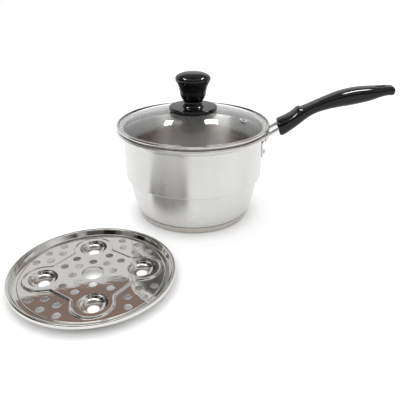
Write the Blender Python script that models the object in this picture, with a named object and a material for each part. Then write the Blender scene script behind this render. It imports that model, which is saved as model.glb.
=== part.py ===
"""A stepped soup pot with a glass lid, and the steaming plate that belongs in it.

Metres, +Z up. The origin is the centre of the base's underside and +X runs along the handle.
"""

import math

import bmesh
import bpy
from mathutils import Matrix, Vector
from mathutils.geometry import delaunay_2d_cdt

# Shared
GAP = 0.0003  # clearance between pieces that touch
MERGE = 0.000001
ROUND = 36  # facets round a large turned piece
SMALL_ROUND = 16  # facets round a small one
SCREW_ROUND = 14
RIVET_ROUND = 12
KNOB_ROUND = 22
COLLAR_ROUND = 28
CUT_PAST = 0.0050  # how far a cutter runs past what it cuts

# Pot body, drawn from one sheet
WALL_R = 0.0914  # outside of the upper wall
WALL_DRAFT = 0.0004
WALL_DRAFT_H = 0.0250  # the wall is at its full radius this far above the ledge
SHEET = 0.0008
POT_H = 0.1203
STEP_Z = 0.0556  # underside of the ledge that the plate rests on
STEP_IN = 0.0058
STEP_BEND = 0.0024
STEP_NECK = 0.0012  # straight part under the ledge
FOOT_R = 0.0768
FOOT_BEND = 0.0018
BELLY_POWER = 1.9  # how the lower body draws in towards the foot
RIM_OUT = 0.0079  # rolled rim, beyond the wall
RIM_ROLL = 0.0020
RIM_DROP = 0.0098  # where the flare starts, below the top
FLARE_BEND = 0.0040

# Sandwich base
CAP_SHEET = 0.0006
CAP_INSET = 0.0004  # its side, in from the foot
CAP_BEND = 0.0030
CAP_TAPER = 0.0016
CORE_H = 0.0080

# Handle bracket
BRACKET_SHEET = 0.0015
BRACKET_TOP = 0.0120  # below the rim
BRACKET_H = 0.0275
BRACKET_W = 0.0400
BRACKET_FOOT_W = 0.0300
BRACKET_CORNER = 0.0050
RIVET_DOWN = 0.0322  # below the rim
RIVET_APART = 0.0180
RIVET_R = 0.0023
RIVET_HEAD_R = 0.0040
RIVET_HEAD_H = 0.0022
RIVET_TAIL_H = 0.0011

# Rods that carry the grip
ROD_R = 0.0024
ROD_APART = 0.0232
ROD_PITCH = math.radians(34)
ROD_BEND = 0.0080
ROD_TAIL = 0.0170  # lower end, below the rim
ROD_TIP_SHARE = 0.45  # its radius there, as a share of the rest
ROD_IN_GRIP = 0.0240

# Grip, in distances from its front and heights over the rods' way in
GRIP_REACH = 0.0206
GRIP_RISE = 0.0020  # where the rods enter it, above the rim
GRIP_ROUND = 0.0024
GRIP_END_ROUND = 0.0018
GRIP_LEAN = 0.0022  # how far the front face tips back above and below its middle
GRIP_LEAN_RUN = 0.0500
GRIP_SQUARE = 2.5
GRIP_STEP = 0.0080
# along, top, crease, underside, half width above the crease, half width below it
GRIP_STATIONS = (
    (-0.0020, 0.0091, -0.0024, -0.0095, 0.0150, 0.0154),
    (0.0010, 0.0104, -0.0002, -0.0114, 0.0151, 0.0155),
    (0.0028, 0.0112, 0.0011, -0.0125, 0.0152, 0.0156),
    (0.0048, 0.0121, 0.0026, -0.0121, 0.0153, 0.0157),
    (0.0070, 0.0132, 0.0043, -0.0109, 0.0154, 0.0158),
    (0.0100, 0.0148, 0.0067, -0.0089, 0.0154, 0.0158),
    (0.0150, 0.0182, 0.0106, -0.0050, 0.0154, 0.0158),
    (0.0180, 0.0211, 0.0130, -0.0028, 0.0153, 0.0158),
    (0.0206, 0.0241, 0.0150, -0.0008, 0.0149, 0.0157),
    (0.0230, 0.0250, 0.0168, 0.0013, 0.0139, 0.0154),
    (0.0265, 0.0245, 0.0194, 0.0042, 0.0130, 0.0149),
    (0.0320, 0.0266, 0.0230, 0.0092, 0.0123, 0.0143),
    (0.0420, 0.0314, 0.0281, 0.0161, 0.0117, 0.0136),
    (0.0560, 0.0382, 0.0337, 0.0215, 0.0120, 0.0136),
    (0.0720, 0.0448, 0.0392, 0.0254, 0.0134, 0.0145),
    (0.0900, 0.0494, 0.0428, 0.0289, 0.0142, 0.0152),
    (0.1080, 0.0513, 0.0453, 0.0335, 0.0134, 0.0144),
    (0.1240, 0.0519, 0.0476, 0.0393, 0.0118, 0.0127),
    (0.1310, 0.0525, 0.0485, 0.0408, 0.0112, 0.0121),
    (0.1372, 0.0523, 0.0489, 0.0409, 0.0110, 0.0119),
)
SLOT_FROM_END = 0.0157  # middle of the hanging slot
SLOT_LENGTH = 0.0130
SLOT_WIDTH = 0.0068

# Screw that holds the grip to a bridge between the rods
BRIDGE_FROM_FRONT = 0.0170
BRIDGE_LENGTH = 0.0110
BRIDGE_H = 0.0026
POCKET_BEFORE = 0.0120  # how far before the grip's front its pocket starts
GRIP_SCREW_R = 0.0019
GRIP_SCREW_HEAD_R = 0.0038
GRIP_SCREW_HEAD_H = 0.0022
GRIP_SCREW_DEPTH = 0.0072  # seat of the head, below the rods' plane
GRIP_SEAT_H = 0.0228  # the seat's cutter, from there out through the underside

# Lid glass and its ring
GLASS_SHEET = 0.0040
GLASS_IN_RING = 0.0024  # edge of the glass, in from the rim's outside
GLASS_RISE = 0.0163
GLASS_BORE_R = 0.0050
RING_SHEET = 0.0008
RING_NOSE = 0.0020
RING_COVER = 0.0006  # how far the ring's lip laps the glass
RING_PROUD = 0.0001  # ring's outside, beyond the rim's
RING_NECK = 0.0014  # bevel between the ring's shelf and its skirt
RING_NECK_H = 0.0010
SKIRT_PLAY = 0.0005
SKIRT_H = 0.0060

# Steam vent
VENT_IN = 0.0294  # its middle, in from the edge of the glass
VENT_TURN = math.radians(-18)
VENT_FLANGE_R = 0.0052
VENT_TAIL_R = 0.0045
VENT_TUBE_R = 0.0032
VENT_BORE_R = 0.0018
VENT_FLANGE_H = 0.0008

# Knob and what clamps it
SEAL_H = 0.0009
UPPER_SEAL_R = 0.0090
LOWER_SEAL_R = 0.0100
COLLAR_R = 0.0311
COLLAR_H = 0.0034
COLLAR_DROP = 0.0020  # its rim hangs this far below its boss
COLLAR_EDGE = 0.0017
COLLAR_BOSS_R = 0.0100
COLLAR_HOLLOW = 0.0012
COLLAR_RIM = 0.0030
KNOB_SCREW_R = 0.0023
KNOB_SCREW_HEAD_R = 0.0042
KNOB_SCREW_HEAD_H = 0.0022
WASHER_R = 0.0082
WASHER_H = 0.0008
INSERT_R = 0.0045
INSERT_H = 0.0160
# radius, height above the collar
KNOB_LINE = (
    (0.0147, 0.0000),
    (0.0134, 0.0016),
    (0.0125, 0.0048),
    (0.0127, 0.0075),
    (0.0143, 0.0098),
    (0.0162, 0.0135),
    (0.0169, 0.0175),
    (0.0176, 0.0215),
    (0.0193, 0.0270),
    (0.0218, 0.0315),
    (0.0224, 0.0345),
    (0.0215, 0.0370),
    (0.0184, 0.0396),
    (0.0110, 0.0419),
)
KNOB_H = 0.0428

# Steaming plate
PLATE_R = 0.0903
PLATE_SHEET = 0.0006
PLATE_APART = 0.0129  # clear space between the rolled rim and the plate
PLATE_AZIMUTH = math.radians(-120)
PLATE_TURN = math.radians(13.1)
PLATE_ROLL = 0.0020
PLATE_WALL_H = 0.0046
PLATE_HEM = 0.0024
PLATE_WALL_RUN = 0.0024
PLATE_GUTTER = 0.0044
PLATE_RIDGE = 0.0006
PLATE_RIDGE_W = 0.0016
ISLAND_RISE = 0.0015  # the middle stands this much over the rest
CUP_R = 0.0150
CUP_LIP = 0.0006
CUP_DEPTH = 0.0074
CUP_HOLE_R = 0.0062
CUPS = 4
CUP_SIDES = 14
CENTRE_HOLE_R = 0.0109
CENTRE_COLLAR_H = 0.0024
CENTRE_LIP = 0.0014
CENTRE_BEND = 0.0003
CENTRE_BEND_H = 0.0007
HOLE_R = 0.0042
HOLE_SIDES = 8
INNER_HOLE_SHARE = 0.427  # of the way from the centre hole's edge to the first row
INNER_HOLES = 8
# distance in from the flat's edge, and angles from the line midway between two cups
HOLE_ROWS = (
    (0.0419, (-14.5, 14.5)),
    (0.0189, (-8.7, 8.7)),
    (0.0059, (-16.6, 0.0, 16.6)),
)
BEAD_CLEAR = 0.0022  # between the bead and the flat's edge
BEAD_WRAP = 0.0214
BEAD_LINK_IN = 0.0319  # straight parts of the bead, in from the flat's edge
BEAD_BEND = 0.0060
BEAD_HALF_W = 0.0017
BEAD_H = 0.0022

# Worked out from the sizes above
WALL_IN = WALL_R - SHEET
STEP_R = WALL_R - STEP_IN
FACET_DIP = WALL_R * (1 - math.cos(math.pi / ROUND))
CORE_Z = CAP_SHEET + GAP
FLOOR_Z = CORE_Z + CORE_H + GAP
RIM_R = WALL_R + RIM_OUT
GRIP_FRONT = WALL_R + GRIP_REACH
GRIP_Z = POT_H + GRIP_RISE
ROD_ALONG = Vector((math.cos(ROD_PITCH), 0, math.sin(ROD_PITCH)))
ROD_UP = Vector((-math.sin(ROD_PITCH), 0, math.cos(ROD_PITCH)))
GLASS_Z = GAP + RING_SHEET + GAP  # underside of the glass edge, above the rim
GLASS_R = RIM_R - GLASS_IN_RING
VENT_AT = GLASS_R - VENT_IN
DOME_BASE_R = GLASS_R - GLASS_SHEET / 2
SEAL_LAND_R = max(UPPER_SEAL_R, LOWER_SEAL_R) + GAP
DOME_R = (DOME_BASE_R**2 + GLASS_RISE**2) / (2 * GLASS_RISE)
PLATE_FLAT_R = PLATE_R - 2 * PLATE_ROLL - PLATE_WALL_RUN - PLATE_GUTTER - PLATE_RIDGE_W
CUP_FLAT_R = CUP_R + CUP_LIP
CUP_RING = PLATE_FLAT_R - BEAD_CLEAR - BEAD_HALF_W - BEAD_WRAP
BEAD_LINK = PLATE_FLAT_R - BEAD_LINK_IN
FIRST_ROW_R = PLATE_FLAT_R - HOLE_ROWS[0][0]
INNER_HOLE_RING = CENTRE_HOLE_R + INNER_HOLE_SHARE * (FIRST_ROW_R - CENTRE_HOLE_R)
PLATE_Z = CUP_DEPTH + PLATE_SHEET - ISLAND_RISE  # top of the plate, above what it stands on


def clear_scene():
    for obj in list(bpy.data.objects):
        bpy.data.objects.remove(obj, do_unlink=True)


def finish(name, colour, roughness, metallic=0.0, transmission=0.0):
    """A plain Principled material."""
    material = bpy.data.materials.new(name)
    material.use_nodes = True
    shader = material.node_tree.nodes["Principled BSDF"]
    shader.inputs["Base Color"].default_value = (*colour, 1.0)
    shader.inputs["Roughness"].default_value = roughness
    shader.inputs["Metallic"].default_value = metallic
    shader.inputs["Transmission Weight"].default_value = transmission
    material.diffuse_color = (*colour, 1.0)
    return material


def add(name, bm, material, parent=None):
    """Turns a bmesh into a named object, smooth where its faces meet at a shallow angle."""
    mesh = bpy.data.meshes.new(name)
    bm.to_mesh(mesh)
    bm.free()
    mesh.shade_smooth()
    mesh.set_sharp_from_angle(angle=math.radians(32))
    obj = bpy.data.objects.new(name, mesh)
    if material:
        obj.data.materials.append(material)
    bpy.context.scene.collection.objects.link(obj)
    obj.parent = parent
    return obj


def joint_empty(name, location, turn=0.0):
    empty = bpy.data.objects.new(name, None)
    empty.location = location
    empty.rotation_euler = (0, 0, turn)
    bpy.context.scene.collection.objects.link(empty)
    return empty


def arc(centre, radius, start, end, steps):
    """Points of an arc in the (radius, height) plane, from start to end in degrees."""
    angles = [math.radians(start + (end - start) * i / steps) for i in range(steps + 1)]
    return [(centre[0] + radius * math.cos(a), centre[1] + radius * math.sin(a)) for a in angles]


def offset_line(line, distance):
    """The line moved to its left by a distance, mitred at its corners."""
    points = [Vector(p) for p in line]
    runs = [(b - a).normalized() for a, b in zip(points, points[1:])]
    moved = []
    for i, point in enumerate(points):
        before = runs[max(i - 1, 0)]
        after = runs[min(i, len(runs) - 1)]
        left = Vector((-before.y - after.y, before.x + after.x)).normalized()
        stretch = max(left.dot(Vector((-after.y, after.x))), 0.5)
        moved.append(tuple(point + left * (distance / stretch)))
    return moved


def sheet_outline(line, thickness):
    """Closed outline of a bent sheet whose one face is the line and whose other lies to its left."""
    return list(line) + offset_line(line, thickness)[::-1]


def revolve(bm, outline, facets):
    """Spins a (radius, height) outline about Z. It is closed unless both its ends lie on the axis."""
    verts = [bm.verts.new((r, 0, z)) for r, z in outline]
    on_axis = outline[0][0] == 0 and outline[-1][0] == 0
    ends = verts[1:] if on_axis else verts[1:] + verts[:1]
    edges = [bm.edges.new(pair) for pair in zip(verts, ends)]
    bmesh.ops.spin(
        bm,
        geom=verts + edges,
        cent=(0, 0, 0),
        axis=(0, 0, 1),
        angle=2 * math.pi,
        steps=facets,
        use_merge=True,
    )
    bmesh.ops.remove_doubles(bm, verts=bm.verts, dist=MERGE)
    bmesh.ops.recalc_face_normals(bm, faces=bm.faces)


def turned(name, outline, material, facets=ROUND, parent=None, place=None):
    """A solid of revolution, stood up along Z unless it is given a place."""
    bm = bmesh.new()
    revolve(bm, outline, facets)
    if place:
        bm.transform(place)
    return add(name, bm, material, parent)


def disc(radius, low, high, bore=0.0):
    """Outline of a plain disc or, with a bore, of a washer."""
    if bore:
        return [(bore, low), (radius, low), (radius, high), (bore, high)]
    return [(0, low), (radius, low), (radius, high), (0, high)]


def place_along(origin, direction):
    """A frame whose Z runs along the direction."""
    return Matrix.Translation(origin) @ Vector(direction).to_track_quat("Z", "Y").to_matrix().to_4x4()


def cutter(name, outline, place, facets=SMALL_ROUND, parent=None):
    obj = turned(name, outline, None, facets, parent, place)
    obj.hide_render = True
    obj.display_type = "WIRE"
    return obj


def cut(obj, tool):
    modifier = obj.modifiers.new("cut_" + tool.name, "BOOLEAN")
    modifier.operation = "DIFFERENCE"
    modifier.solver = "EXACT"
    modifier.object = tool


def body_line():
    """Outer face of the drawn body, from the middle of its floor up to the rolled rim."""
    line = [(0, FLOOR_Z)]
    line += arc((FOOT_R - FOOT_BEND, FLOOR_Z + FOOT_BEND), FOOT_BEND, -90, -20, 2)
    belly_low = FLOOR_Z + FOOT_BEND
    belly_high = STEP_Z - STEP_NECK
    steps = 5
    for i in range(steps + 1):
        depth = 1 - i / steps
        z = belly_low + (belly_high - belly_low) * (1 - depth)
        line.append((STEP_R - (STEP_R - FOOT_R) * depth**BELLY_POWER, z))
    bend_at = (WALL_R - WALL_DRAFT - STEP_BEND, STEP_Z + STEP_BEND)
    line += arc(bend_at, STEP_BEND, -90, 0, 2)
    line.append((WALL_R, STEP_Z + WALL_DRAFT_H))
    flare_at = (WALL_R + FLARE_BEND, POT_H - RIM_DROP)
    line += arc(flare_at, FLARE_BEND, 180, 125, 2)
    return line


def pot_shell(steel):
    outer = body_line()
    inner = offset_line(outer, SHEET)
    inner[0] = (0, FLOOR_Z + SHEET)
    roll_at = (RIM_R - RIM_ROLL, POT_H - RIM_ROLL)
    roll = arc(roll_at, RIM_ROLL, 215, 500, 6)
    obj = turned("pot_shell", outer + roll + inner[::-1], steel)
    for name, side in (("hole_near", -1), ("hole_far", 1)):
        cut(obj, rivet_hole(name, side))
    return obj


def cap_line():
    """Outer face of the base's cap, from its middle up its side."""
    high_r = FOOT_R - CAP_INSET
    low_r = high_r - CAP_TAPER
    line = [(0, 0)]
    line += arc((low_r - CAP_BEND, CAP_BEND), CAP_BEND, -90, 0, 2)
    line.append((high_r, FLOOR_Z - GAP))
    return line


def base_cap(steel):
    return turned("base_cap", sheet_outline(cap_line(), CAP_SHEET), steel)


def base_core(aluminium):
    inside = offset_line(cap_line(), CAP_SHEET + GAP)
    inside[0] = (0, CORE_Z)
    inside[-1] = (inside[-1][0], CORE_Z + CORE_H)
    return turned("base_core", inside + [(0, CORE_Z + CORE_H)], aluminium)


def rivet_place(side):
    """Frame of a rivet: Z runs out through the wall from the pot's axis."""
    turn = math.asin(side * RIVET_APART / 2 / WALL_R)
    along = Vector((math.cos(turn), math.sin(turn), 0))
    return place_along(Vector((0, 0, POT_H - RIVET_DOWN)), along)


def rivet_hole(name, side):
    start = WALL_IN - CUT_PAST
    end = WALL_R + BRACKET_SHEET + CUT_PAST
    return cutter(name, disc(RIVET_R + GAP, start, end), rivet_place(side))


def rivet(name, side, steel):
    inside = WALL_IN - FACET_DIP - RIVET_HEAD_R**2 / (2 * WALL_IN) - GAP
    outside = WALL_R + GAP + BRACKET_SHEET + GAP
    outline = [
        (0, inside - RIVET_TAIL_H),
        (RIVET_HEAD_R * 0.88, inside - RIVET_TAIL_H),
        (RIVET_HEAD_R, inside - RIVET_TAIL_H * 0.55),
        (RIVET_HEAD_R, inside),
        (RIVET_R, inside),
        (RIVET_R, outside),
        (RIVET_HEAD_R, outside),
        (RIVET_HEAD_R * 0.93, outside + RIVET_HEAD_H * 0.45),
        (RIVET_HEAD_R * 0.60, outside + RIVET_HEAD_H * 0.86),
        (0, outside + RIVET_HEAD_H),
    ]
    return turned(name, outline, steel, RIVET_ROUND, None, rivet_place(side))


def bracket_plate(steel):
    """Sheet bent round the wall, with rounded corners and drawn in towards its foot."""
    high = POT_H - BRACKET_TOP
    low = high - BRACKET_H
    rows = [0, 0.3, 1.0] + [1.6, 2.4, 3.2]
    levels = [low + BRACKET_CORNER * t for t in rows]
    levels += [high - BRACKET_CORNER * t for t in (0.3, 0)]
    columns = 8

    def half_width(z):
        straight = BRACKET_FOOT_W + (BRACKET_W - BRACKET_FOOT_W) * min((z - low) / BRACKET_H * 1.5, 1)
        from_end = min(z - low, high - z, BRACKET_CORNER)
        drop = BRACKET_CORNER - math.sqrt(BRACKET_CORNER**2 - (BRACKET_CORNER - from_end) ** 2)
        return straight / 2 - drop

    bm = bmesh.new()
    faces = []
    for radius in (WALL_R + GAP, WALL_R + GAP + BRACKET_SHEET):
        grid = []
        for z in levels:
            reach = half_width(z) / radius
            angles = [reach * (2 * i / columns - 1) for i in range(columns + 1)]
            grid.append([bm.verts.new((radius * math.cos(a), radius * math.sin(a), z)) for a in angles])
        faces.append(grid)
    inner, outer = faces
    for grid in faces:
        for low_row, high_row in zip(grid, grid[1:]):
            for i in range(columns):
                bm.faces.new((low_row[i], low_row[i + 1], high_row[i + 1], high_row[i]))

    def border(grid):
        right = [row[-1] for row in grid[1:-1]]
        left = [row[0] for row in grid[-2:0:-1]]
        return grid[0] + right + grid[-1][::-1] + left

    edge_in = border(inner)
    edge_out = border(outer)
    for i in range(len(edge_in)):
        j = (i + 1) % len(edge_in)
        bm.faces.new((edge_in[i], edge_in[j], edge_out[j], edge_out[i]))
    bmesh.ops.recalc_face_normals(bm, faces=bm.faces)
    obj = add("bracket_plate", bm, steel)
    for name, side in (("plate_hole_near", -1), ("plate_hole_far", 1)):
        cut(obj, rivet_hole(name, side))
    return obj


def rod_route():
    """Middle line of a rod in the XZ plane: up the wall, round a bend and out into the grip."""
    beside = ROD_APART / 2
    plate_out = WALL_R + GAP + BRACKET_SHEET
    upright_x = math.sqrt(plate_out**2 - beside**2) + GAP + ROD_R
    entry = Vector((GRIP_FRONT, GRIP_Z))
    pitch = Vector((math.cos(ROD_PITCH), math.sin(ROD_PITCH)))
    corner = entry - pitch * ((GRIP_FRONT - upright_x) / pitch.x)
    trim = ROD_BEND * math.tan((math.pi / 2 - ROD_PITCH) / 2)
    bend_at = (corner.x + ROD_BEND, corner.y - trim)
    bend = arc(bend_at, ROD_BEND, 180, 90 + math.degrees(ROD_PITCH), 6)
    tail = (upright_x - ROD_R * (1 - ROD_TIP_SHARE), POT_H - ROD_TAIL)
    end = entry + pitch * ROD_IN_GRIP
    return [tail] + bend + [tuple(entry), tuple(end)]


def rod(name, side, steel):
    curve = bpy.data.curves.new(name, "CURVE")
    curve.dimensions = "3D"
    curve.bevel_depth = ROD_R
    curve.bevel_resolution = 3
    curve.use_fill_caps = True
    route = rod_route()
    spline = curve.splines.new("POLY")
    spline.points.add(len(route) - 1)
    for point, (x, z) in zip(spline.points, route):
        point.co = (x, side * ROD_APART / 2, z, 1)
    spline.points[0].radius = ROD_TIP_SHARE
    curve.materials.append(steel)
    obj = bpy.data.objects.new(name, curve)
    bpy.context.scene.collection.objects.link(obj)
    return obj


def bridge_middle():
    return Vector((GRIP_FRONT, 0, GRIP_Z)) + ROD_ALONG * BRIDGE_FROM_FRONT


def box(name, place, size, material):
    """A block centred on its place."""
    bm = bmesh.new()
    bmesh.ops.create_cube(bm, size=1.0)
    bm.transform(place @ Matrix.Diagonal((*size, 1)))
    return add(name, bm, material)


def tang_bridge(steel):
    place = place_along(bridge_middle(), ROD_UP)
    width = ROD_APART - 2 * ROD_R - 2 * GAP
    length = BRIDGE_LENGTH
    obj = box("tang_bridge", place, (width, length, BRIDGE_H), steel)
    span = BRIDGE_H
    hole = cutter("bridge_hole", disc(GRIP_SCREW_R + GAP, -span, span), place, SCREW_ROUND)
    cut(obj, hole)
    return obj


def through(stations, at, column):
    """Reads one column of a table smoothly between its rows."""
    places = [row[0] for row in stations]
    values = [row[column] for row in stations]
    last = len(places) - 1
    i = 0
    while i < last - 1 and at > places[i + 1]:
        i += 1
    run = places[i + 1] - places[i]
    t = (at - places[i]) / run

    def slope(k):
        before = max(k - 1, 0)
        after = min(k + 1, last)
        return (values[after] - values[before]) / (places[after] - places[before])

    square = t * t
    cube = square * t
    return (
        values[i] * (2 * cube - 3 * square + 1)
        + values[i + 1] * (3 * square - 2 * cube)
        + run * slope(i) * (cube - 2 * square + t)
        + run * slope(i + 1) * (cube - square)
    )


def rounding(distance, radius):
    """How far a rounded end has drawn in at this distance from its face."""
    if distance >= radius:
        return 0.0
    return radius - math.sqrt(radius**2 - (radius - distance) ** 2)


def bow(half, height, turn):
    """A point of a squarish half oval, turn running from 0 at one side to pi at the other."""
    across = math.cos(turn)
    up = math.sin(turn)
    power = 2 / GRIP_SQUARE
    return (
        half * math.copysign(abs(across) ** power, across),
        height * abs(up) ** power,
    )


def grip_section(along, length):
    """Points of the grip's outline at one distance along it, upper half first."""
    from_front = along - GRIP_STATIONS[0][0]
    from_end = GRIP_STATIONS[-1][0] - along
    inset = max(rounding(from_front, GRIP_ROUND), rounding(from_end, GRIP_END_ROUND))
    lean = GRIP_LEAN * max(1 - from_front / GRIP_LEAN_RUN, 0)
    crease = through(GRIP_STATIONS, along, 2)
    top_at = max(along - lean, GRIP_STATIONS[0][0])
    top = through(GRIP_STATIONS, top_at, 1) - crease - inset
    low = crease - through(GRIP_STATIONS, min(along + lean, length), 3) - inset
    half_up = through(GRIP_STATIONS, along, 4) - inset
    half_low = through(GRIP_STATIONS, along, 5) - inset
    steps = 8
    points = []
    for i in range(steps + 1):
        y, z = bow(half_up, top, math.pi * i / steps)
        points.append((along - lean * z / top, y, crease + z))
    for i in range(steps + 1):
        y, z = bow(half_low, low, math.pi - math.pi * i / steps)
        points.append((along + lean * z / low, y, crease - z))
    return points


def grip_stops():
    """Distances along the grip at which it has a section: closer at its rounded ends."""
    first = GRIP_STATIONS[0][0]
    last = GRIP_STATIONS[-1][0]
    shares = (0.0, 0.12, 0.45, 1.0)
    stops = [first + GRIP_ROUND * share for share in shares]
    places = [row[0] for row in GRIP_STATIONS]
    for start, stop in zip(places, places[1:]):
        pieces = max(round((stop - start) / GRIP_STEP), 1)
        between = [start + (stop - start) * (i + 1) / pieces for i in range(pieces)]
        stops += [x for x in between if stops[-1] < x < last - GRIP_END_ROUND]
    stops += [last - GRIP_END_ROUND * share for share in reversed(shares)]
    return stops, last


def slot_cutter():
    """A long round-ended prism, upright through the grip's tail."""
    middle = GRIP_FRONT + GRIP_STATIONS[-1][0] - SLOT_FROM_END
    straight = (SLOT_LENGTH - SLOT_WIDTH) / 2
    outline = arc((straight, 0), SLOT_WIDTH / 2, -90, 90, 6)
    outline += arc((-straight, 0), SLOT_WIDTH / 2, 90, 270, 6)
    low = GRIP_Z + GRIP_STATIONS[-3][3] - CUT_PAST
    high = GRIP_Z + GRIP_STATIONS[-2][1] + CUT_PAST
    bm = bmesh.new()
    face = bm.faces.new([bm.verts.new((middle + x, y, low)) for x, y in outline])
    made = bmesh.ops.extrude_face_region(bm, geom=[face])["geom"]
    lifted = [v for v in made if isinstance(v, bmesh.types.BMVert)]
    bmesh.ops.translate(bm, verts=lifted, vec=(0, 0, high - low))
    bmesh.ops.recalc_face_normals(bm, faces=bm.faces)
    obj = add("slot_cutter", bm, None)
    obj.hide_render = True
    obj.display_type = "WIRE"
    return obj


def grip(bakelite):
    """Moulded grip, lofted through its sections, with sockets for the rods and a slot to hang it by."""
    bm = bmesh.new()
    stops, length = grip_stops()
    rings = []
    for along in stops:
        section = grip_section(along, length)
        rings.append([bm.verts.new((GRIP_FRONT + x, y, GRIP_Z + z)) for x, y, z in section])
    count = len(rings[0])
    for near, far in zip(rings, rings[1:]):
        for i in range(count):
            j = (i + 1) % count
            bm.faces.new((near[i], near[j], far[j], far[i]))
    bm.faces.new(rings[0])
    bm.faces.new(rings[-1])
    bmesh.ops.remove_doubles(bm, verts=bm.verts, dist=MERGE)
    bmesh.ops.recalc_face_normals(bm, faces=bm.faces)
    obj = add("grip", bm, bakelite)
    cut(obj, slot_cutter())
    entry = Vector((GRIP_FRONT, 0, GRIP_Z))
    reach = ROD_IN_GRIP + GAP
    for name, side in (("socket_near", -1), ("socket_far", 1)):
        origin = entry + Vector((0, side * ROD_APART / 2, 0))
        place = place_along(origin, ROD_ALONG)
        cut(obj, cutter(name, disc(ROD_R + GAP, -reach, reach), place))
    pocket_end = BRIDGE_FROM_FRONT + BRIDGE_LENGTH / 2 + GAP
    pocket_start = -POCKET_BEFORE
    middle = entry + ROD_ALONG * (pocket_start + pocket_end) / 2
    size = (ROD_APART, pocket_end - pocket_start, BRIDGE_H + 2 * GAP)
    pocket = box("bridge_pocket", place_along(middle, ROD_UP), size, None)
    pocket.hide_render = True
    pocket.display_type = "WIRE"
    cut(obj, pocket)
    down = place_along(bridge_middle(), -ROD_UP)
    screw_hole = disc(GRIP_SCREW_R + GAP, 0, GRIP_SCREW_DEPTH + CUT_PAST)
    cut(obj, cutter("screw_hole", screw_hole, down, SCREW_ROUND))
    seat = disc(GRIP_SCREW_HEAD_R + GAP, GRIP_SCREW_DEPTH, GRIP_SCREW_DEPTH + GRIP_SEAT_H)
    cut(obj, cutter("screw_seat", seat, down, SCREW_ROUND))
    return obj


def grip_screw(steel):
    seat = GRIP_SCREW_DEPTH + GAP
    head = seat + GRIP_SCREW_HEAD_H
    tip = -BRIDGE_H / 2
    outline = [
        (0, tip),
        (GRIP_SCREW_R, tip),
        (GRIP_SCREW_R, seat),
        (GRIP_SCREW_HEAD_R, seat),
        (GRIP_SCREW_HEAD_R, head - GRIP_SCREW_HEAD_H * 0.5),
        (GRIP_SCREW_HEAD_R * 0.7, head),
        (0, head),
    ]
    place = place_along(bridge_middle(), -ROD_UP)
    return turned("grip_screw", outline, steel, SCREW_ROUND, None, place)


def dome(radius, rise=0.0):
    """Height of the glass's upper face over the rim at a radius, plus a rise."""
    crown = GLASS_Z + GLASS_SHEET + GLASS_RISE
    return crown - DOME_R + math.sqrt(DOME_R**2 - radius**2) + rise


def lid_glass(glass, lid):
    """Tempered dome with a ground round edge, bored for the knob's screw and the vent."""
    steps = 4
    radii = [GLASS_BORE_R]
    radii += [SEAL_LAND_R + (DOME_BASE_R - SEAL_LAND_R) * i / steps for i in range(steps)]
    top = [(r, dome(r)) for r in radii]
    low = [(r, dome(r, -GLASS_SHEET)) for r in radii]
    edge_at = (DOME_BASE_R, GLASS_Z + GLASS_SHEET / 2)
    edge = arc(edge_at, GLASS_SHEET / 2, 90, -90, 3)
    obj = turned("lid_glass", top + edge + low[::-1], glass, ROUND, lid)
    hole = disc(VENT_TUBE_R + GAP, -GLASS_SHEET - CUT_PAST, CUT_PAST)
    cut(obj, cutter("vent_hole", hole, vent_place(), SMALL_ROUND, lid))
    return obj


def lid_ring(steel, lid):
    """Steel band rolled over the glass edge, with a shelf under it and a skirt inside the pot."""
    nose_at = (RIM_R - RING_NOSE + RING_PROUD, GLASS_Z + GLASS_SHEET + GAP + RING_SHEET - RING_NOSE)
    lip = (GLASS_R - RING_COVER, nose_at[1] + RING_NOSE)
    skirt_r = WALL_IN - SKIRT_PLAY
    line = [lip]
    line += arc(nose_at, RING_NOSE, 90, -60, 4)
    line.append((GLASS_R - GAP, GAP))
    line.append((skirt_r + RING_NECK, GAP))
    line.append((skirt_r, GAP - RING_NECK_H))
    line.append((skirt_r, -SKIRT_H))
    outline = line + offset_line(line, -RING_SHEET)[::-1]
    return turned("lid_ring", outline, steel, ROUND, lid)


def vent_place():
    """Frame of the vent, square to the glass, with Z = 0 on its upper face."""
    tilt = math.asin(VENT_AT / DOME_R)
    at = Vector((VENT_AT * math.cos(VENT_TURN), VENT_AT * math.sin(VENT_TURN), dome(VENT_AT)))
    out = Vector(
        (
            math.sin(tilt) * math.cos(VENT_TURN),
            math.sin(tilt) * math.sin(VENT_TURN),
            math.cos(tilt),
        )
    )
    return place_along(at, out)


def vent_eyelet(steel, lid):
    top = GAP
    low = -GLASS_SHEET - GAP
    outline = [
        (VENT_BORE_R, top + VENT_FLANGE_H * 0.7),
        (VENT_TUBE_R, top + VENT_FLANGE_H),
        (VENT_FLANGE_R, top + VENT_FLANGE_H * 0.5),
        (VENT_FLANGE_R, top),
        (VENT_TUBE_R, top),
        (VENT_TUBE_R, low),
        (VENT_TAIL_R, low),
        (VENT_TAIL_R, low - VENT_FLANGE_H * 0.6),
        (VENT_BORE_R, low - VENT_FLANGE_H),
    ]
    return turned("vent_eyelet", outline, steel, RIVET_ROUND, lid, vent_place())


def knob_stack():
    """Heights above the rim of everything that the knob's screw clamps."""
    glass_top = dome(0)
    seal = glass_top + GAP
    collar = seal + SEAL_H + GAP
    knob = collar + COLLAR_H + GAP
    glass_low = dome(SEAL_LAND_R, -GLASS_SHEET)
    lower_seal = glass_low - GAP - SEAL_H
    washer = lower_seal - GAP - WASHER_H
    head = washer - GAP - KNOB_SCREW_HEAD_H
    return {
        "seal": seal,
        "collar": collar,
        "knob": knob,
        "lower_seal": lower_seal,
        "washer": washer,
        "head": head,
    }


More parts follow.
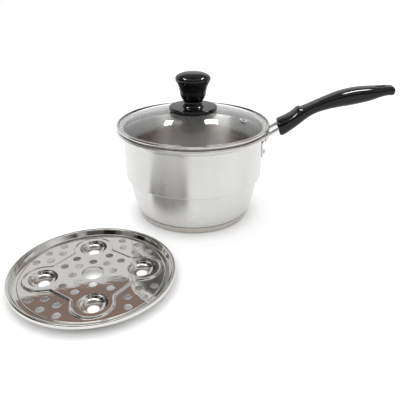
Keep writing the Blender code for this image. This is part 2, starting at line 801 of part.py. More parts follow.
def knob_parts(bakelite, steel, brass, silicone, lid):
    at = knob_stack()
    bore = KNOB_SCREW_R + GAP
    upper = disc(UPPER_SEAL_R, at["seal"], at["seal"] + SEAL_H, bore)
    turned("upper_seal", upper, silicone, SMALL_ROUND, lid)
    lower = disc(LOWER_SEAL_R, at["lower_seal"], at["lower_seal"] + SEAL_H, bore)
    turned("lower_seal", lower, silicone, SMALL_ROUND, lid)
    washer = disc(WASHER_R, at["washer"], at["washer"] + WASHER_H, bore)
    turned("screw_washer", washer, steel, SMALL_ROUND, lid)

    low = at["collar"]
    high = low + COLLAR_H
    collar = [
        (bore, low),
        (COLLAR_BOSS_R, low),
        (COLLAR_BOSS_R + COLLAR_HOLLOW, low + COLLAR_HOLLOW),
        (COLLAR_R - COLLAR_RIM, low + COLLAR_HOLLOW),
    ]
    edge_r = COLLAR_R - COLLAR_EDGE
    collar += arc((edge_r, low - COLLAR_DROP + COLLAR_EDGE), COLLAR_EDGE, -120, 0, 3)
    collar += arc((edge_r, high - COLLAR_EDGE), COLLAR_EDGE, 0, 90, 2)
    collar += [(bore, high)]
    turned("knob_collar", collar, bakelite, COLLAR_ROUND, lid)

    foot = at["knob"]
    socket_r = INSERT_R + GAP
    socket_top = foot + INSERT_H + 3 * GAP
    shape = [(0, socket_top), (socket_r, socket_top), (socket_r, foot)]
    shape += [(r, foot + z) for r, z in KNOB_LINE]
    shape += [(0, foot + KNOB_H)]
    turned("knob", shape, bakelite, KNOB_ROUND, lid)

    insert = disc(INSERT_R, foot + GAP, foot + GAP + INSERT_H, bore)
    turned("knob_insert", insert, brass, SMALL_ROUND, lid)

    head = at["head"]
    seat = head + KNOB_SCREW_HEAD_H
    screw = [
        (0, head),
        (KNOB_SCREW_HEAD_R * 0.75, head),
        (KNOB_SCREW_HEAD_R, head + KNOB_SCREW_HEAD_H * 0.5),
        (KNOB_SCREW_HEAD_R, seat),
        (KNOB_SCREW_R, seat),
        (KNOB_SCREW_R, foot + INSERT_H),
        (0, foot + INSERT_H),
    ]
    turned("knob_screw", screw, steel, SMALL_ROUND, lid)


def cup_centres():
    return [
        Vector((CUP_RING * math.cos(a), CUP_RING * math.sin(a)))
        for a in (2 * math.pi * k / CUPS for k in range(CUPS))
    ]


def hole_centres():
    """Middles of the small round holes: inside the bead, then outside it."""
    inside = []
    outside = []
    for k in range(INNER_HOLES):
        inside.append((INNER_HOLE_RING, 360 * k / INNER_HOLES))
    for k in range(CUPS):
        midway = 360 * (k + 0.5) / CUPS
        for inset, angles in HOLE_ROWS:
            radius = PLATE_FLAT_R - inset
            row = inside if radius < BEAD_LINK else outside
            row += [(radius, midway + a) for a in angles]

    def places(row):
        return [Vector((r * math.cos(math.radians(a)), r * math.sin(math.radians(a)))) for r, a in row]

    return places(inside), places(outside)


def bead_line(aside):
    """Plan of the pressed bead, moved outwards by a distance: a U round each cup, then straight to the next."""
    side_end = BEAD_LINK * math.sqrt(2) - BEAD_WRAP
    bend_at = (side_end + BEAD_BEND * math.tan(math.pi / 8), BEAD_WRAP + BEAD_BEND)
    wrap = arc((CUP_RING, 0), BEAD_WRAP + aside, -90, 90, 8)
    bend = arc(bend_at, BEAD_BEND - aside, 270, 225, 2)
    before = [(x, -y) for x, y in reversed(bend)]
    quarter = [Vector(p) for p in before + wrap + bend]
    line = []
    for k in range(CUPS):
        turn = Matrix.Rotation(2 * math.pi * k / CUPS, 2)
        line += [turn @ p for p in quarter]
    return line


def ring_points(centre, radius, sides):
    angles = [2 * math.pi * k / sides for k in range(sides)]
    return [centre + Vector((radius * math.cos(a), radius * math.sin(a))) for a in angles]


class Stamping:
    """A pressed sheet: a flat panel with creases, whose edges go on as turned walls."""

    def __init__(self):
        self.points = []
        self.heights = []
        self.edges = []
        self.walls = []

    def loop(self, points, height):
        """Adds a closed line that the panel's triangles must follow, and gives back where it starts."""
        start = len(self.points)
        count = len(points)
        self.points += points
        self.heights += [height] * count
        self.edges += [(start + i, start + (i + 1) % count) for i in range(count)]
        return start

    def opening(self, centre, line, sides):
        """Adds an edge round a centre. The line is the wall's upper face, as (radius, height)."""
        start = self.loop(ring_points(centre, line[0][0], sides), line[0][1])
        self.walls.append((centre, line, sides, start))

    def panel_faces(self):
        """Triangles of the panel, leaving out the openings, and the index of each point in the result."""
        verts, _, faces, origins, _, _ = delaunay_2d_cdt(self.points, self.edges, [], 0, MERGE / 10)
        lookup = {}
        for i, sources in enumerate(origins):
            for source in sources:
                lookup[source] = i
        holes = [(c, line[0][0]) for c, line, _, _ in self.walls if line[0][0] < PLATE_FLAT_R * 0.9]
        kept = []
        for face in faces:
            middle = sum((verts[i] for i in face), Vector((0, 0))) / len(face)
            if all((middle - centre).length > radius for centre, radius in holes):
                kept.append(face)
        return verts, kept, lookup

    def build(self, thickness):
        verts, faces, lookup = self.panel_faces()
        height_of = {lookup[i]: h for i, h in enumerate(self.heights)}
        bm = bmesh.new()
        top = {i: bm.verts.new((*verts[i], height_of[i])) for face in faces for i in face}
        low = {i: bm.verts.new((*verts[i], height_of[i] - thickness)) for i in top}
        for face in faces:
            bm.faces.new([top[i] for i in face])
            bm.faces.new([low[i] for i in reversed(face)])
        for centre, line, sides, start in self.walls:
            ring = [lookup[start + k] for k in range(sides)]
            self.wall(bm, centre, line, sides, thickness, [top[i] for i in ring], [low[i] for i in ring])
        bmesh.ops.recalc_face_normals(bm, faces=bm.faces)
        return bm

    def wall(self, bm, centre, line, sides, thickness, top, low):
        """Carries both faces of the sheet along the line, and closes them at its end."""
        outward = len(line) > 1 and line[-1][0] > line[0][0]
        under = [(line[0][0], line[0][1] - thickness)]
        if len(line) > 1:
            under += offset_line(line, -thickness if outward else thickness)[1:]

        def carry(ring, face):
            for radius, height in face[1:]:
                points = ring_points(centre, radius, sides)
                further = [bm.verts.new((*p, height)) for p in points]
                join(ring, further)
                ring = further
            return ring

        def join(a, b):
            for i in range(sides):
                j = (i + 1) % sides
                bm.faces.new((a[i], a[j], b[j], b[i]))

        join(carry(top, line), carry(low, under))


def rim_line():
    """Upper face of the plate's edge: a fine ridge, a gutter, a wall and a rolled lip."""
    ridge = PLATE_FLAT_R + PLATE_RIDGE_W / 2
    gutter = PLATE_FLAT_R + PLATE_RIDGE_W
    wall = gutter + PLATE_GUTTER
    roll_at = (PLATE_R - PLATE_ROLL, PLATE_WALL_H)
    line = [(PLATE_FLAT_R, 0.0), (ridge, PLATE_RIDGE), (gutter, -PLATE_RIDGE / 2)]
    line.append((wall, -PLATE_RIDGE / 2))
    line += arc(roll_at, PLATE_ROLL, 180, 0, 4)
    return line + [(PLATE_R, PLATE_WALL_H - PLATE_HEM)]


def cup_line():
    """Upper face of an egg cup: a soft lip and a round bowl with a hole in its floor."""
    span = CUP_R - CUP_HOLE_R
    line = [(CUP_FLAT_R, ISLAND_RISE)]
    for degrees in (12, 34, 58, 90):
        turn = math.radians(degrees)
        line.append((CUP_HOLE_R + span * math.cos(turn), ISLAND_RISE - CUP_DEPTH * math.sin(turn)))
    return line


def centre_line():
    """Upper face of the middle hole's turned-down collar."""
    return [
        (CENTRE_HOLE_R + CENTRE_LIP, ISLAND_RISE),
        (CENTRE_HOLE_R + CENTRE_BEND, ISLAND_RISE - CENTRE_BEND_H),
        (CENTRE_HOLE_R, ISLAND_RISE - CENTRE_COLLAR_H),
    ]


def steam_plate(steel, parent):
    """The stamped plate: four egg cups inside a pressed bead, and holes for the steam."""
    stamping = Stamping()
    middle = Vector((0, 0))
    stamping.opening(middle, rim_line(), ROUND)
    stamping.opening(middle, centre_line(), SMALL_ROUND)
    for centre in cup_centres():
        stamping.opening(centre, cup_line(), CUP_SIDES)
    inside, outside = hole_centres()
    for centre in inside:
        stamping.opening(centre, [(HOLE_R, ISLAND_RISE)], HOLE_SIDES)
    for centre in outside:
        stamping.opening(centre, [(HOLE_R, 0.0)], HOLE_SIDES)
    stamping.loop(bead_line(-BEAD_HALF_W), ISLAND_RISE)
    stamping.loop(bead_line(0.0), BEAD_H)
    stamping.loop(bead_line(BEAD_HALF_W), 0.0)
    return add("steam_plate", stamping.build(PLATE_SHEET), steel, parent)


def main():
    clear_scene()
    brushed = finish("brushed_steel", (0.60, 0.59, 0.57), 0.32, 1.0)
    polished = finish("polished_steel", (0.66, 0.65, 0.63), 0.08, 1.0)
    aluminium = finish("aluminium", (0.70, 0.69, 0.68), 0.45, 1.0)
    brass = finish("brass", (0.72, 0.55, 0.28), 0.35, 1.0)
    bakelite = finish("black_bakelite", (0.012, 0.012, 0.013), 0.12)
    silicone = finish("silicone", (0.80, 0.80, 0.78), 0.55)
    glass = finish("clear_glass", (0.96, 0.98, 0.97), 0.02, 0.0, 1.0)

    pot_shell(brushed)
    base_cap(brushed)
    base_core(aluminium)
    bracket_plate(polished)
    for name, side in (("rivet_near", -1), ("rivet_far", 1)):
        rivet(name, side, polished)
    for name, side in (("rod_near", -1), ("rod_far", 1)):
        rod(name, side, polished)
    tang_bridge(polished)
    grip(bakelite)
    grip_screw(polished)

    lid = joint_empty("lid_lift", (0, 0, POT_H))
    lid_glass(glass, lid)
    lid_ring(polished, lid)
    vent_eyelet(polished, lid)
    knob_parts(bakelite, polished, brass, silicone, lid)

    away = RIM_R + PLATE_APART + PLATE_R
    stand = (away * math.cos(PLATE_AZIMUTH), away * math.sin(PLATE_AZIMUTH), PLATE_Z)
    steam_plate(polished, joint_empty("plate_lift", stand, PLATE_TURN))


main()
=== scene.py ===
import math

import bmesh
import bpy
from mathutils import Matrix, Vector
from mathutils.geometry import delaunay_2d_cdt


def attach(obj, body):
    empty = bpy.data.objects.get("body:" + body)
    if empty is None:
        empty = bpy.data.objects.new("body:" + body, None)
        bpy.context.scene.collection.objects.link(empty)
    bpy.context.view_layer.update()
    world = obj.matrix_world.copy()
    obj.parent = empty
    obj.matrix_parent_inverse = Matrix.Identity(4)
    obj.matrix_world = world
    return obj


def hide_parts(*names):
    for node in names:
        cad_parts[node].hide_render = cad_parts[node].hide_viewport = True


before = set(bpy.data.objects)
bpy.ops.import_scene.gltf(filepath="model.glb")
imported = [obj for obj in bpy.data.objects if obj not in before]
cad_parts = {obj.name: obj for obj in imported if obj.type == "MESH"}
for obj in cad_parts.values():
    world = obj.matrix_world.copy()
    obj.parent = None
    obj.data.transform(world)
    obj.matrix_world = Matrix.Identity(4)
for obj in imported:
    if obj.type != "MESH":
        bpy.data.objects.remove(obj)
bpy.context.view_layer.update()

# A stepped steel soup pot with a glass lid, and the steaming plate that belongs in it.
# Metres, +Z up, the pot's axis is Z and its grip points along +X.

gap = 0.0003  # between pieces that touch


def put(tree, kind, inputs=None, **settings):
    # one node, with its inputs set to values or linked to other nodes' sockets
    made = tree.nodes.new(kind)
    for key, value in settings.items():
        setattr(made, key, value)
    for key, value in (inputs or {}).items():
        if isinstance(value, bpy.types.NodeSocket):
            tree.links.new(value, made.inputs[key])
        else:
            made.inputs[key].default_value = value
    return made


def newTree(name, kind, takes, gives):
    # a tree with named inputs, each with its kind of socket and its value, and one output
    tree = bpy.data.node_groups.new(name, kind)
    for title, socket, value in takes:
        made = tree.interface.new_socket(title, in_out="INPUT", socket_type="NodeSocket" + socket)
        if value is not None:
            made.default_value = value
    title, socket = gives
    tree.interface.new_socket(title, in_out="OUTPUT", socket_type="NodeSocket" + socket)
    return tree, tree.nodes.new("NodeGroupInput").outputs, tree.nodes.new("NodeGroupOutput")


def calc(tree, operation, first, second=0.0):
    return put(tree, "ShaderNodeMath", {0: first, 1: second}, operation=operation).outputs[0]


def between(tree, factor, low, high):
    inputs = {"Value": factor, "To Min": low, "To Max": high}
    return put(tree, "ShaderNodeMapRange", inputs).outputs[0]


def smoothStep(tree, value, low, high, start=0.0, stop=1.0):
    # goes softly from start to stop while the value goes from low to high
    inputs = {"Value": value, "From Min": low, "From Max": high, "To Min": start, "To Max": stop}
    return put(tree, "ShaderNodeMapRange", inputs, interpolation_type="SMOOTHSTEP").outputs[0]


def blendColours(tree, factor, *colours):
    # from the first colour to the second, each a colour or another node's socket
    first, second = (c if isinstance(c, bpy.types.NodeSocket) else (*c, 1) for c in colours)
    inputs = {"Factor": factor, 6: first, 7: second}
    return put(tree, "ShaderNodeMix", inputs, data_type="RGBA").outputs[2]


def finishTree(tree, shape, given, end):
    # a real mesh, welded where the tree says so, in the piece's own material
    shape = put(tree, "GeometryNodeRealizeInstances", {0: shape}).outputs[0]
    if "Weld" in given:
        inputs = {0: shape, "Distance": given["Weld"]}
        shape = put(tree, "GeometryNodeMergeByDistance", inputs).outputs[0]
    dressed = put(tree, "GeometryNodeSetMaterial", {0: shape, "Material": given["Material"]})
    tree.links.new(dressed.outputs[0], end.inputs[0])
    return tree


def shapedMesh(obj):
    # the mesh that the object's modifiers make of it
    bpy.context.view_layer.update()
    graph = bpy.context.evaluated_depsgraph_get()
    return bpy.data.meshes.new_from_object(obj.evaluated_get(graph), depsgraph=graph)


def bake(obj):
    # the same object, with a plain mesh in place of its modifiers
    made = shapedMesh(obj)
    obj.modifiers.clear()
    obj.data = made
    return obj


def addTree(obj, tree, values):
    # puts a Geometry Nodes tree on an object, with the values of its named inputs
    modifier = obj.modifiers.new("shape", "NODES")
    modifier.node_group = tree
    for item in tree.interface.items_tree:
        if item.in_out == "INPUT" and item.name in values:
            modifier[item.identifier] = values[item.name]
    return obj


def newObject(name, mesh):
    obj = bpy.data.objects.new(name, mesh)
    bpy.context.scene.collection.objects.link(obj)
    return obj


def fromBmesh(name, bm):
    mesh = bpy.data.meshes.new(name)
    bm.to_mesh(mesh)
    bm.free()
    return newObject(name, mesh)


def settle(obj, body, slot, *nodes):
    # the piece moves with the body and stands for the nodes
    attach(obj, body)
    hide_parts(*nodes)


def soften(obj, angle=34):
    obj.data.shade_smooth()
    obj.data.set_sharp_from_angle(angle=math.radians(angle))
    return obj


def arc(centre, radius, start, end, steps):
    angles = [math.radians(start + (end - start) * i / steps) for i in range(steps + 1)]
    return [(centre[0] + radius * math.cos(a), centre[1] + radius * math.sin(a)) for a in angles]


def aside(line, distance):
    # the line moved to its left, mitred at its corners
    points = [Vector(p) for p in line]
    runs = [(b - a).normalized() for a, b in zip(points, points[1:])]
    moved = []
    for i, point in enumerate(points):
        before = runs[max(i - 1, 0)]
        after = runs[min(i, len(runs) - 1)]
        left = Vector((-before.y - after.y, before.x + after.x)).normalized()
        stretch = max(left.dot(Vector((-after.y, after.x))), 0.5)
        moved.append(tuple(point + left * (distance / stretch)))
    return moved


def smoothLine(points, steps):
    # a soft curve through a few (radius, height) points
    line = [points[0]]
    last = len(points) - 1
    for i in range(last):
        a, b = Vector(points[i]), Vector(points[i + 1])
        slopeA = (b - Vector(points[max(i - 1, 0)])) / (2 if i else 1)
        slopeB = (Vector(points[min(i + 2, last)]) - a) / (2 if i + 2 <= last else 1)
        for k in range(1, steps + 1):
            t = k / steps
            at = (
                a * (2 * t**3 - 3 * t**2 + 1)
                + b * (3 * t**2 - 2 * t**3)
                + slopeA * (t**3 - 2 * t**2 + t)
                + slopeB * (t**3 - t**2)
            )
            line.append(tuple(at))
    return line


# Turned pieces: a tree spins an outline round Z
def turningTree():
    takes = [
        ("Outline", "Geometry", None),
        ("Facets", "Int", 96),
        ("Weld", "Float", 0.000001),
        ("Material", "Material", None),
    ]
    tree, given, end = newTree("turning", "GeometryNodeTree", takes, ("Mesh", "Geometry"))
    size = put(tree, "GeometryNodeAttributeDomainSize", {0: given["Outline"]})
    rows = calc(tree, "ADD", given["Facets"], 1.0)
    inputs = {"Vertices X": size.outputs["Point Count"], "Vertices Y": rows}
    grid = put(tree, "GeometryNodeMeshGrid", inputs)
    # a grid point's number says which point of the outline it copies, and how far it turns
    index = put(tree, "GeometryNodeInputIndex").outputs[0]
    along = calc(tree, "FLOOR", calc(tree, "DIVIDE", calc(tree, "ADD", index, 0.5), rows))
    step = calc(tree, "SUBTRACT", index, calc(tree, "MULTIPLY", along, rows))
    part = calc(tree, "DIVIDE", step, given["Facets"])
    turn = calc(tree, "MULTIPLY", part, 2 * math.pi)
    place = put(tree, "GeometryNodeInputPosition").outputs[0]
    inputs = {0: given["Outline"], "Value": place, "Index": along}
    read = put(tree, "GeometryNodeSampleIndex", inputs, data_type="FLOAT_VECTOR", domain="POINT")
    inputs = {"Vector": read.outputs[0], "Axis": (0, 0, 1), "Angle": turn}
    spun = put(tree, "ShaderNodeVectorRotate", inputs, rotation_type="AXIS_ANGLE")
    moved = put(tree, "GeometryNodeSetPosition", {0: grid.outputs[0], "Position": spun.outputs[0]})
    flipped = put(tree, "GeometryNodeFlipFaces", {0: moved.outputs[0]})
    return finishTree(tree, flipped.outputs[0], given, end)


def turned(name, outline, material, facets=192, place=None, closed=None):
    # the outline runs up its outer side; it is joined up unless both ends lie on the axis
    if closed is None:
        closed = outline[0][0] > 0 or outline[-1][0] > 0
    points = outline + outline[:1] if closed else outline
    mesh = bpy.data.meshes.new(name)
    pairs = [(i, i + 1) for i in range(len(points) - 1)]
    mesh.from_pydata([(r, 0, z) for r, z in points], pairs, [])
    values = {"Facets": facets, "Material": material}
    obj = bake(addTree(newObject(name, mesh), trees["turning"], values))
    if place:
        obj.data.transform(place)
    return soften(obj)


def placeAlong(origin, direction):
    # Z turned to the direction
    turn = Vector(direction).to_track_quat("Z", "Y").to_matrix().to_4x4()
    return Matrix.Translation(origin) @ turn


# how copies stand round Z, as both trees below take it
copyInputs = [
    ("Radius", "Float", 0.0),
    ("Groups", "Int", 1),
    ("In each", "Int", 1),
    ("Spacing", "Float", 0.0),
    ("Start", "Float", 0.0),
    ("Height", "Float", 0.0),
    ("Turn with it", "Float", 0.0),
]


def copiesTree():
    # copies of the given mesh in groups round Z, a few to each group
    takes = [("Piece", "Geometry", None), *copyInputs]
    tree, given, end = newTree("copies", "GeometryNodeTree", takes, ("Copies", "Geometry"))
    count = calc(tree, "MULTIPLY", given["Groups"], given["In each"])
    index = put(tree, "GeometryNodeInputIndex").outputs[0]
    group = calc(tree, "DIVIDE", calc(tree, "ADD", index, 0.5), given["In each"])
    group = calc(tree, "FLOOR", group)
    within = calc(tree, "SUBTRACT", index, calc(tree, "MULTIPLY", group, given["In each"]))
    middle = calc(tree, "MULTIPLY", calc(tree, "SUBTRACT", given["In each"], 1.0), 0.5)
    offset = calc(tree, "MULTIPLY", calc(tree, "SUBTRACT", within, middle), given["Spacing"])
    share = calc(tree, "DIVIDE", 2 * math.pi, given["Groups"])
    angle = calc(tree, "ADD", calc(tree, "MULTIPLY", group, share), offset)
    angle = calc(tree, "ADD", angle, given["Start"])
    x = calc(tree, "MULTIPLY", calc(tree, "COSINE", angle), given["Radius"])
    y = calc(tree, "MULTIPLY", calc(tree, "SINE", angle), given["Radius"])
    place = put(tree, "ShaderNodeCombineXYZ", {0: x, 1: y, 2: given["Height"]})
    points = put(tree, "GeometryNodePoints", {"Count": count, "Position": place.outputs[0]})
    facing = calc(tree, "MULTIPLY", angle, given["Turn with it"])
    turn = put(tree, "ShaderNodeCombineXYZ", {2: facing}).outputs[0]
    inputs = {0: points.outputs[0], "Instance": given["Piece"], "Rotation": turn}
    copies = put(tree, "GeometryNodeInstanceOnPoints", inputs)
    tree.links.new(copies.outputs[0], end.inputs[0])
    return tree


def rowTree():
    # copies of a piece as one mesh, in its own finish
    takes = [("Piece", "Object", None), *copyInputs, ("Material", "Material", None)]
    tree, given, end = newTree("row", "GeometryNodeTree", takes, ("Mesh", "Geometry"))
    piece = put(tree, "GeometryNodeObjectInfo", {0: given["Piece"]}).outputs["Geometry"]
    inputs = {"Piece": piece, **{title: given[title] for title, _, _ in copyInputs}}
    copies = put(tree, "GeometryNodeGroup", inputs, node_tree=trees["copies"])
    return finishTree(tree, copies.outputs[0], given, end)


def rodTree():
    # a round bar along each path, as thick as the path's own radius says
    takes = [
        ("Path", "Geometry", None),
        ("Sides", "Int", 36),
        ("Thickness", "Float", 1.0),
        ("Material", "Material", None),
    ]
    tree, given, end = newTree("rod", "GeometryNodeTree", takes, ("Mesh", "Geometry"))
    inputs = {0: given["Sides"], "Radius": given["Thickness"]}
    ring = put(tree, "GeometryNodeCurvePrimitiveCircle", inputs)
    thick = put(tree, "GeometryNodeInputRadius").outputs[0]
    inputs = {0: given["Path"], 1: ring.outputs[0], "Scale": thick, "Fill Caps": True}
    bar = put(tree, "GeometryNodeCurveToMesh", inputs)
    return finishTree(tree, bar.outputs[0], given, end)


# Looks shared by several finishes
def brushingGroup():
    # fine lines that run round the pot's axis
    takes = [
        ("Lines per metre", "Float", 4000.0),
        ("Round", "Float", 3.0),
        ("Seed", "Float", 0.0),
    ]
    tree, given, end = newTree("brushing", "ShaderNodeTree", takes, ("Lines", "Float"))
    place = put(tree, "ShaderNodeTexCoord").outputs["Object"]
    parts = put(tree, "ShaderNodeSeparateXYZ", {0: place}).outputs
    flat = put(tree, "ShaderNodeCombineXYZ", {0: parts[0], 1: parts[1]}).outputs[0]
    unit = put(tree, "ShaderNodeVectorMath", {0: flat}, operation="NORMALIZE").outputs[0]
    reach = put(tree, "ShaderNodeVectorMath", {0: flat}, operation="LENGTH").outputs["Value"]
    inputs = {0: unit, "Scale": given["Round"]}
    around = put(tree, "ShaderNodeVectorMath", inputs, operation="SCALE").outputs[0]
    across = calc(tree, "ADD", parts[2], reach)
    across = calc(tree, "MULTIPLY", across, given["Lines per metre"])
    lift = put(tree, "ShaderNodeCombineXYZ", {2: across}).outputs[0]
    at = put(tree, "ShaderNodeVectorMath", {0: around, 1: lift}, operation="ADD").outputs[0]
    inputs = {"Vector": at, "W": given["Seed"], "Scale": 1.0, "Detail": 3.0, "Roughness": 0.6}
    noise = put(tree, "ShaderNodeTexNoise", inputs, noise_dimensions="4D")
    tree.links.new(noise.outputs[0], end.inputs[0])
    return tree


def handlingGroup():
    # cloudy smears and faint finger marks
    takes = [("Size", "Float", 0.02), ("Sharpness", "Float", 0.2), ("Seed", "Float", 0.0)]
    tree, given, end = newTree("handling", "ShaderNodeTree", takes, ("Mask", "Float"))
    place = put(tree, "ShaderNodeTexCoord").outputs["Object"]
    scale = calc(tree, "DIVIDE", 1.0, given["Size"])
    inputs = {"Vector": place, "W": given["Seed"], "Scale": scale, "Detail": 4.0, "Distortion": 0.6}
    noise = put(tree, "ShaderNodeTexNoise", inputs, noise_dimensions="4D").outputs[0]
    low = calc(tree, "SUBTRACT", 0.5, given["Sharpness"])
    high = calc(tree, "ADD", 0.5, given["Sharpness"])
    tree.links.new(smoothStep(tree, noise, low, high), end.inputs[0])
    return tree


def useGroup(tree, name, values):
    return put(tree, "ShaderNodeGroup", values, node_tree=groups[name]).outputs[0]


def newMaterial(name, look, metallic=0.0, **others):
    # also gives the mask of its smears, whose size, sharpness and seed are the look's marks
    material = bpy.data.materials.new(name)
    material.use_nodes = True
    material.diffuse_color = (*look["colour"], 1)
    tree = material.node_tree
    shader = tree.nodes["Principled BSDF"]
    shader.inputs["Base Color"].default_value = (*look["colour"], 1)
    shader.inputs["Metallic"].default_value = metallic
    for key, value in others.items():
        shader.inputs[key.replace("_", " ")].default_value = value
    size, sharpness, seed = look["marks"]
    smears = useGroup(tree, "handling", {"Size": size, "Sharpness": sharpness, "Seed": seed})
    return material, tree, shader, smears


def addRoughness(tree, shader, mask, roughness):
    shader.inputs["Roughness"].default_value = roughness[0]
    tree.links.new(between(tree, mask, *roughness), shader.inputs["Roughness"])


def addBump(tree, shader, height, distance, strength=1.0):
    inputs = {"Height": height, "Distance": distance, "Strength": strength}
    bump = put(tree, "ShaderNodeBump", inputs).outputs[0]
    tree.links.new(bump, shader.inputs["Normal"])


steelLook = {
    "colour": (0.75, 0.745, 0.735),
    "lineColour": (0.64, 0.635, 0.625),
    "roughness": (0.24, 0.33),
    "marks": (0.03, 0.3, 0.0),
    "markShare": 0.4,  # of the roughness; the lines make the rest
    "anisotropy": 0.96,
    "anisotropyTurn": 0.25,
    "linesPerMetre": 5000.0,
    "lineRound": 2.5,
    "lineDepth": 0.000003,
    "lineStrength": 0.6,
}
# a darker, browner copy of the body's steel: painted reflection and shade, standing in for the dark
# brown band that the base shows
baseDarkReflectionLook = {**steelLook, "colour": (0.62, 0.585, 0.545), "lineColour": (0.55, 0.52, 0.485)}


def brushedSteel(name, look):
    others = {"Anisotropic": look["anisotropy"], "Anisotropic_Rotation": look["anisotropyTurn"]}
    material, tree, shader, smears = newMaterial(name, look, 1.0, **others)
    values = {"Lines per metre": look["linesPerMetre"], "Round": look["lineRound"]}
    lines = useGroup(tree, "brushing", values)
    colour = blendColours(tree, lines, look["lineColour"], look["colour"])
    tree.links.new(colour, shader.inputs["Base Color"])
    smears = calc(tree, "MULTIPLY", smears, look["markShare"])
    rest = calc(tree, "MULTIPLY", lines, 1 - look["markShare"])
    addRoughness(tree, shader, calc(tree, "ADD", smears, rest), look["roughness"])
    addBump(tree, shader, lines, look["lineDepth"], look["lineStrength"])
    return material


# marks and waves: size, sharpness, seed
polishedLook = {
    "colour": (0.72, 0.715, 0.70),
    "roughness": (0.02, 0.05),
    "marks": (0.018, 0.25, 3.0),
    "waves": (0.02, 0.5, 7.0),
    "waveHeight": 0.00001,
}
# a darker, warmer copy of the polished steel: painted shade, standing in for the dark reflections
# in the lid's ring
ringShadedLook = {**polishedLook, "colour": (0.64, 0.625, 0.605)}
plateLook = {
    **polishedLook,
    "colour": (0.70, 0.69, 0.67),
    "roughness": (0.01, 0.03),
    "waves": (0.06, 0.5, 7.0),
    "waveHeight": 0.00012,
}
rodLook = {
    **polishedLook,
    "colour": (0.60, 0.58, 0.55),
    "roughness": (0.18, 0.28),
    "waveHeight": 0.00003,
}


def polishedSteel(name, look):
    material, tree, shader, smears = newMaterial(name, look, 1.0)
    addRoughness(tree, shader, smears, look["roughness"])
    size, sharpness, seed = look["waves"]
    waves = useGroup(tree, "handling", {"Size": size, "Sharpness": sharpness, "Seed": seed})
    addBump(tree, shader, waves, look["waveHeight"])
    return material


glassLook = {
    "colour": (0.985, 0.99, 0.985),
    "roughness": (0.0, 0.02),
    "marks": (0.03, 0.2, 2.0),
    "ior": 1.5,
}


def clearGlass():
    others = {"Transmission_Weight": 1.0, "IOR": glassLook["ior"]}
    material, tree, shader, smears = newMaterial("clearGlass", glassLook, **others)
    addRoughness(tree, shader, smears, glassLook["roughness"])
    return material


bakeliteLook = {
    "colour": (0.005, 0.005, 0.005),
    "cleanColour": (0.004, 0.004, 0.004),
    "handledColour": (0.006, 0.006, 0.006),
    "roughness": (0.06, 0.11),
    "marks": (0.012, 0.3, 5.0),
    "specular": 0.3,
}


def bakeliteFinish():
    look = bakeliteLook
    others = {"Specular_IOR_Level": look["specular"]}
    material, tree, shader, smears = newMaterial("blackBakelite", look, **others)
    addRoughness(tree, shader, smears, look["roughness"])
    colour = blendColours(tree, smears, look["cleanColour"], look["handledColour"])
    tree.links.new(colour, shader.inputs["Base Color"])
    return material


def plainFinish(name, colour, roughness, metallic=0.0):
    look = {"colour": colour, "marks": (0.006, 0.3, 11.0)}
    material, tree, shader, smears = newMaterial(name, look, metallic)
    addRoughness(tree, shader, smears, roughness)
    return material


# Photograph's view, pale floor and soft light
viewpoint = {
    "place": (0.0311, -0.5941, 0.3069),
    "yaw": 2.14,  # degrees from +Y towards -X
    "pitch": 26.42,  # degrees below level
    "lens": 42.26,
}


def addCamera():
    camera = bpy.data.cameras.new("camera")
    camera.lens = viewpoint["lens"]
    camera.sensor_width = 36
    camera.clip_start = 0.01
    obj = newObject("camera", camera)
    yaw = math.radians(viewpoint["yaw"])
    pitch = math.radians(viewpoint["pitch"])
    forward = (-math.sin(yaw) * math.cos(pitch), math.cos(yaw) * math.cos(pitch), -math.sin(pitch))
    obj.location = viewpoint["place"]
    obj.rotation_euler = Vector(forward).to_track_quat("-Z", "Y").to_euler()
    bpy.context.scene.camera = obj


floorLook = {
    "half": 4.0,
    "below": 0.0002,
    "colour": (0.92, 0.92, 0.92),
    "glow": 0.35,  # of its own, for the camera and reflections alone
    "nearby": 0.022,  # how close to the object the glow fades
    "samples": 6,
}


def seenDirectly(tree):
    # 1 where the camera, a reflection or a view through glass looks
    path = put(tree, "ShaderNodeLightPath").outputs
    first = calc(tree, "ADD", path["Is Camera Ray"], path["Is Glossy Ray"])
    return calc(tree, "MINIMUM", calc(tree, "ADD", first, path["Is Transmission Ray"]), 1.0)


def addFloor():
    bm = bmesh.new()
    bmesh.ops.create_grid(bm, x_segments=1, y_segments=1, size=floorLook["half"])
    bmesh.ops.translate(bm, verts=bm.verts, vec=(0, 0, -floorLook["below"]))
    floor = fromBmesh("floor", bm)
    material = bpy.data.materials.new("paleFloor")
    material.use_nodes = True
    tree = material.node_tree
    tree.nodes.clear()
    matt = put(tree, "ShaderNodeBsdfDiffuse", {"Color": (*floorLook["colour"], 1)})
    # the glow fades under and close to the object, so that its shadow stays
    inputs = {"Distance": floorLook["nearby"]}
    openness = put(tree, "ShaderNodeAmbientOcclusion", inputs, samples=floorLook["samples"])
    glow = calc(tree, "MULTIPLY", seenDirectly(tree), floorLook["glow"])
    glow = calc(tree, "MULTIPLY", glow, openness.outputs["AO"])
    light = put(tree, "ShaderNodeEmission", {"Strength": glow})
    both = put(tree, "ShaderNodeAddShader", {0: matt.outputs[0], 1: light.outputs[0]})
    put(tree, "ShaderNodeOutputMaterial", {"Surface": both.outputs[0]})
    floor.data.materials.append(material)


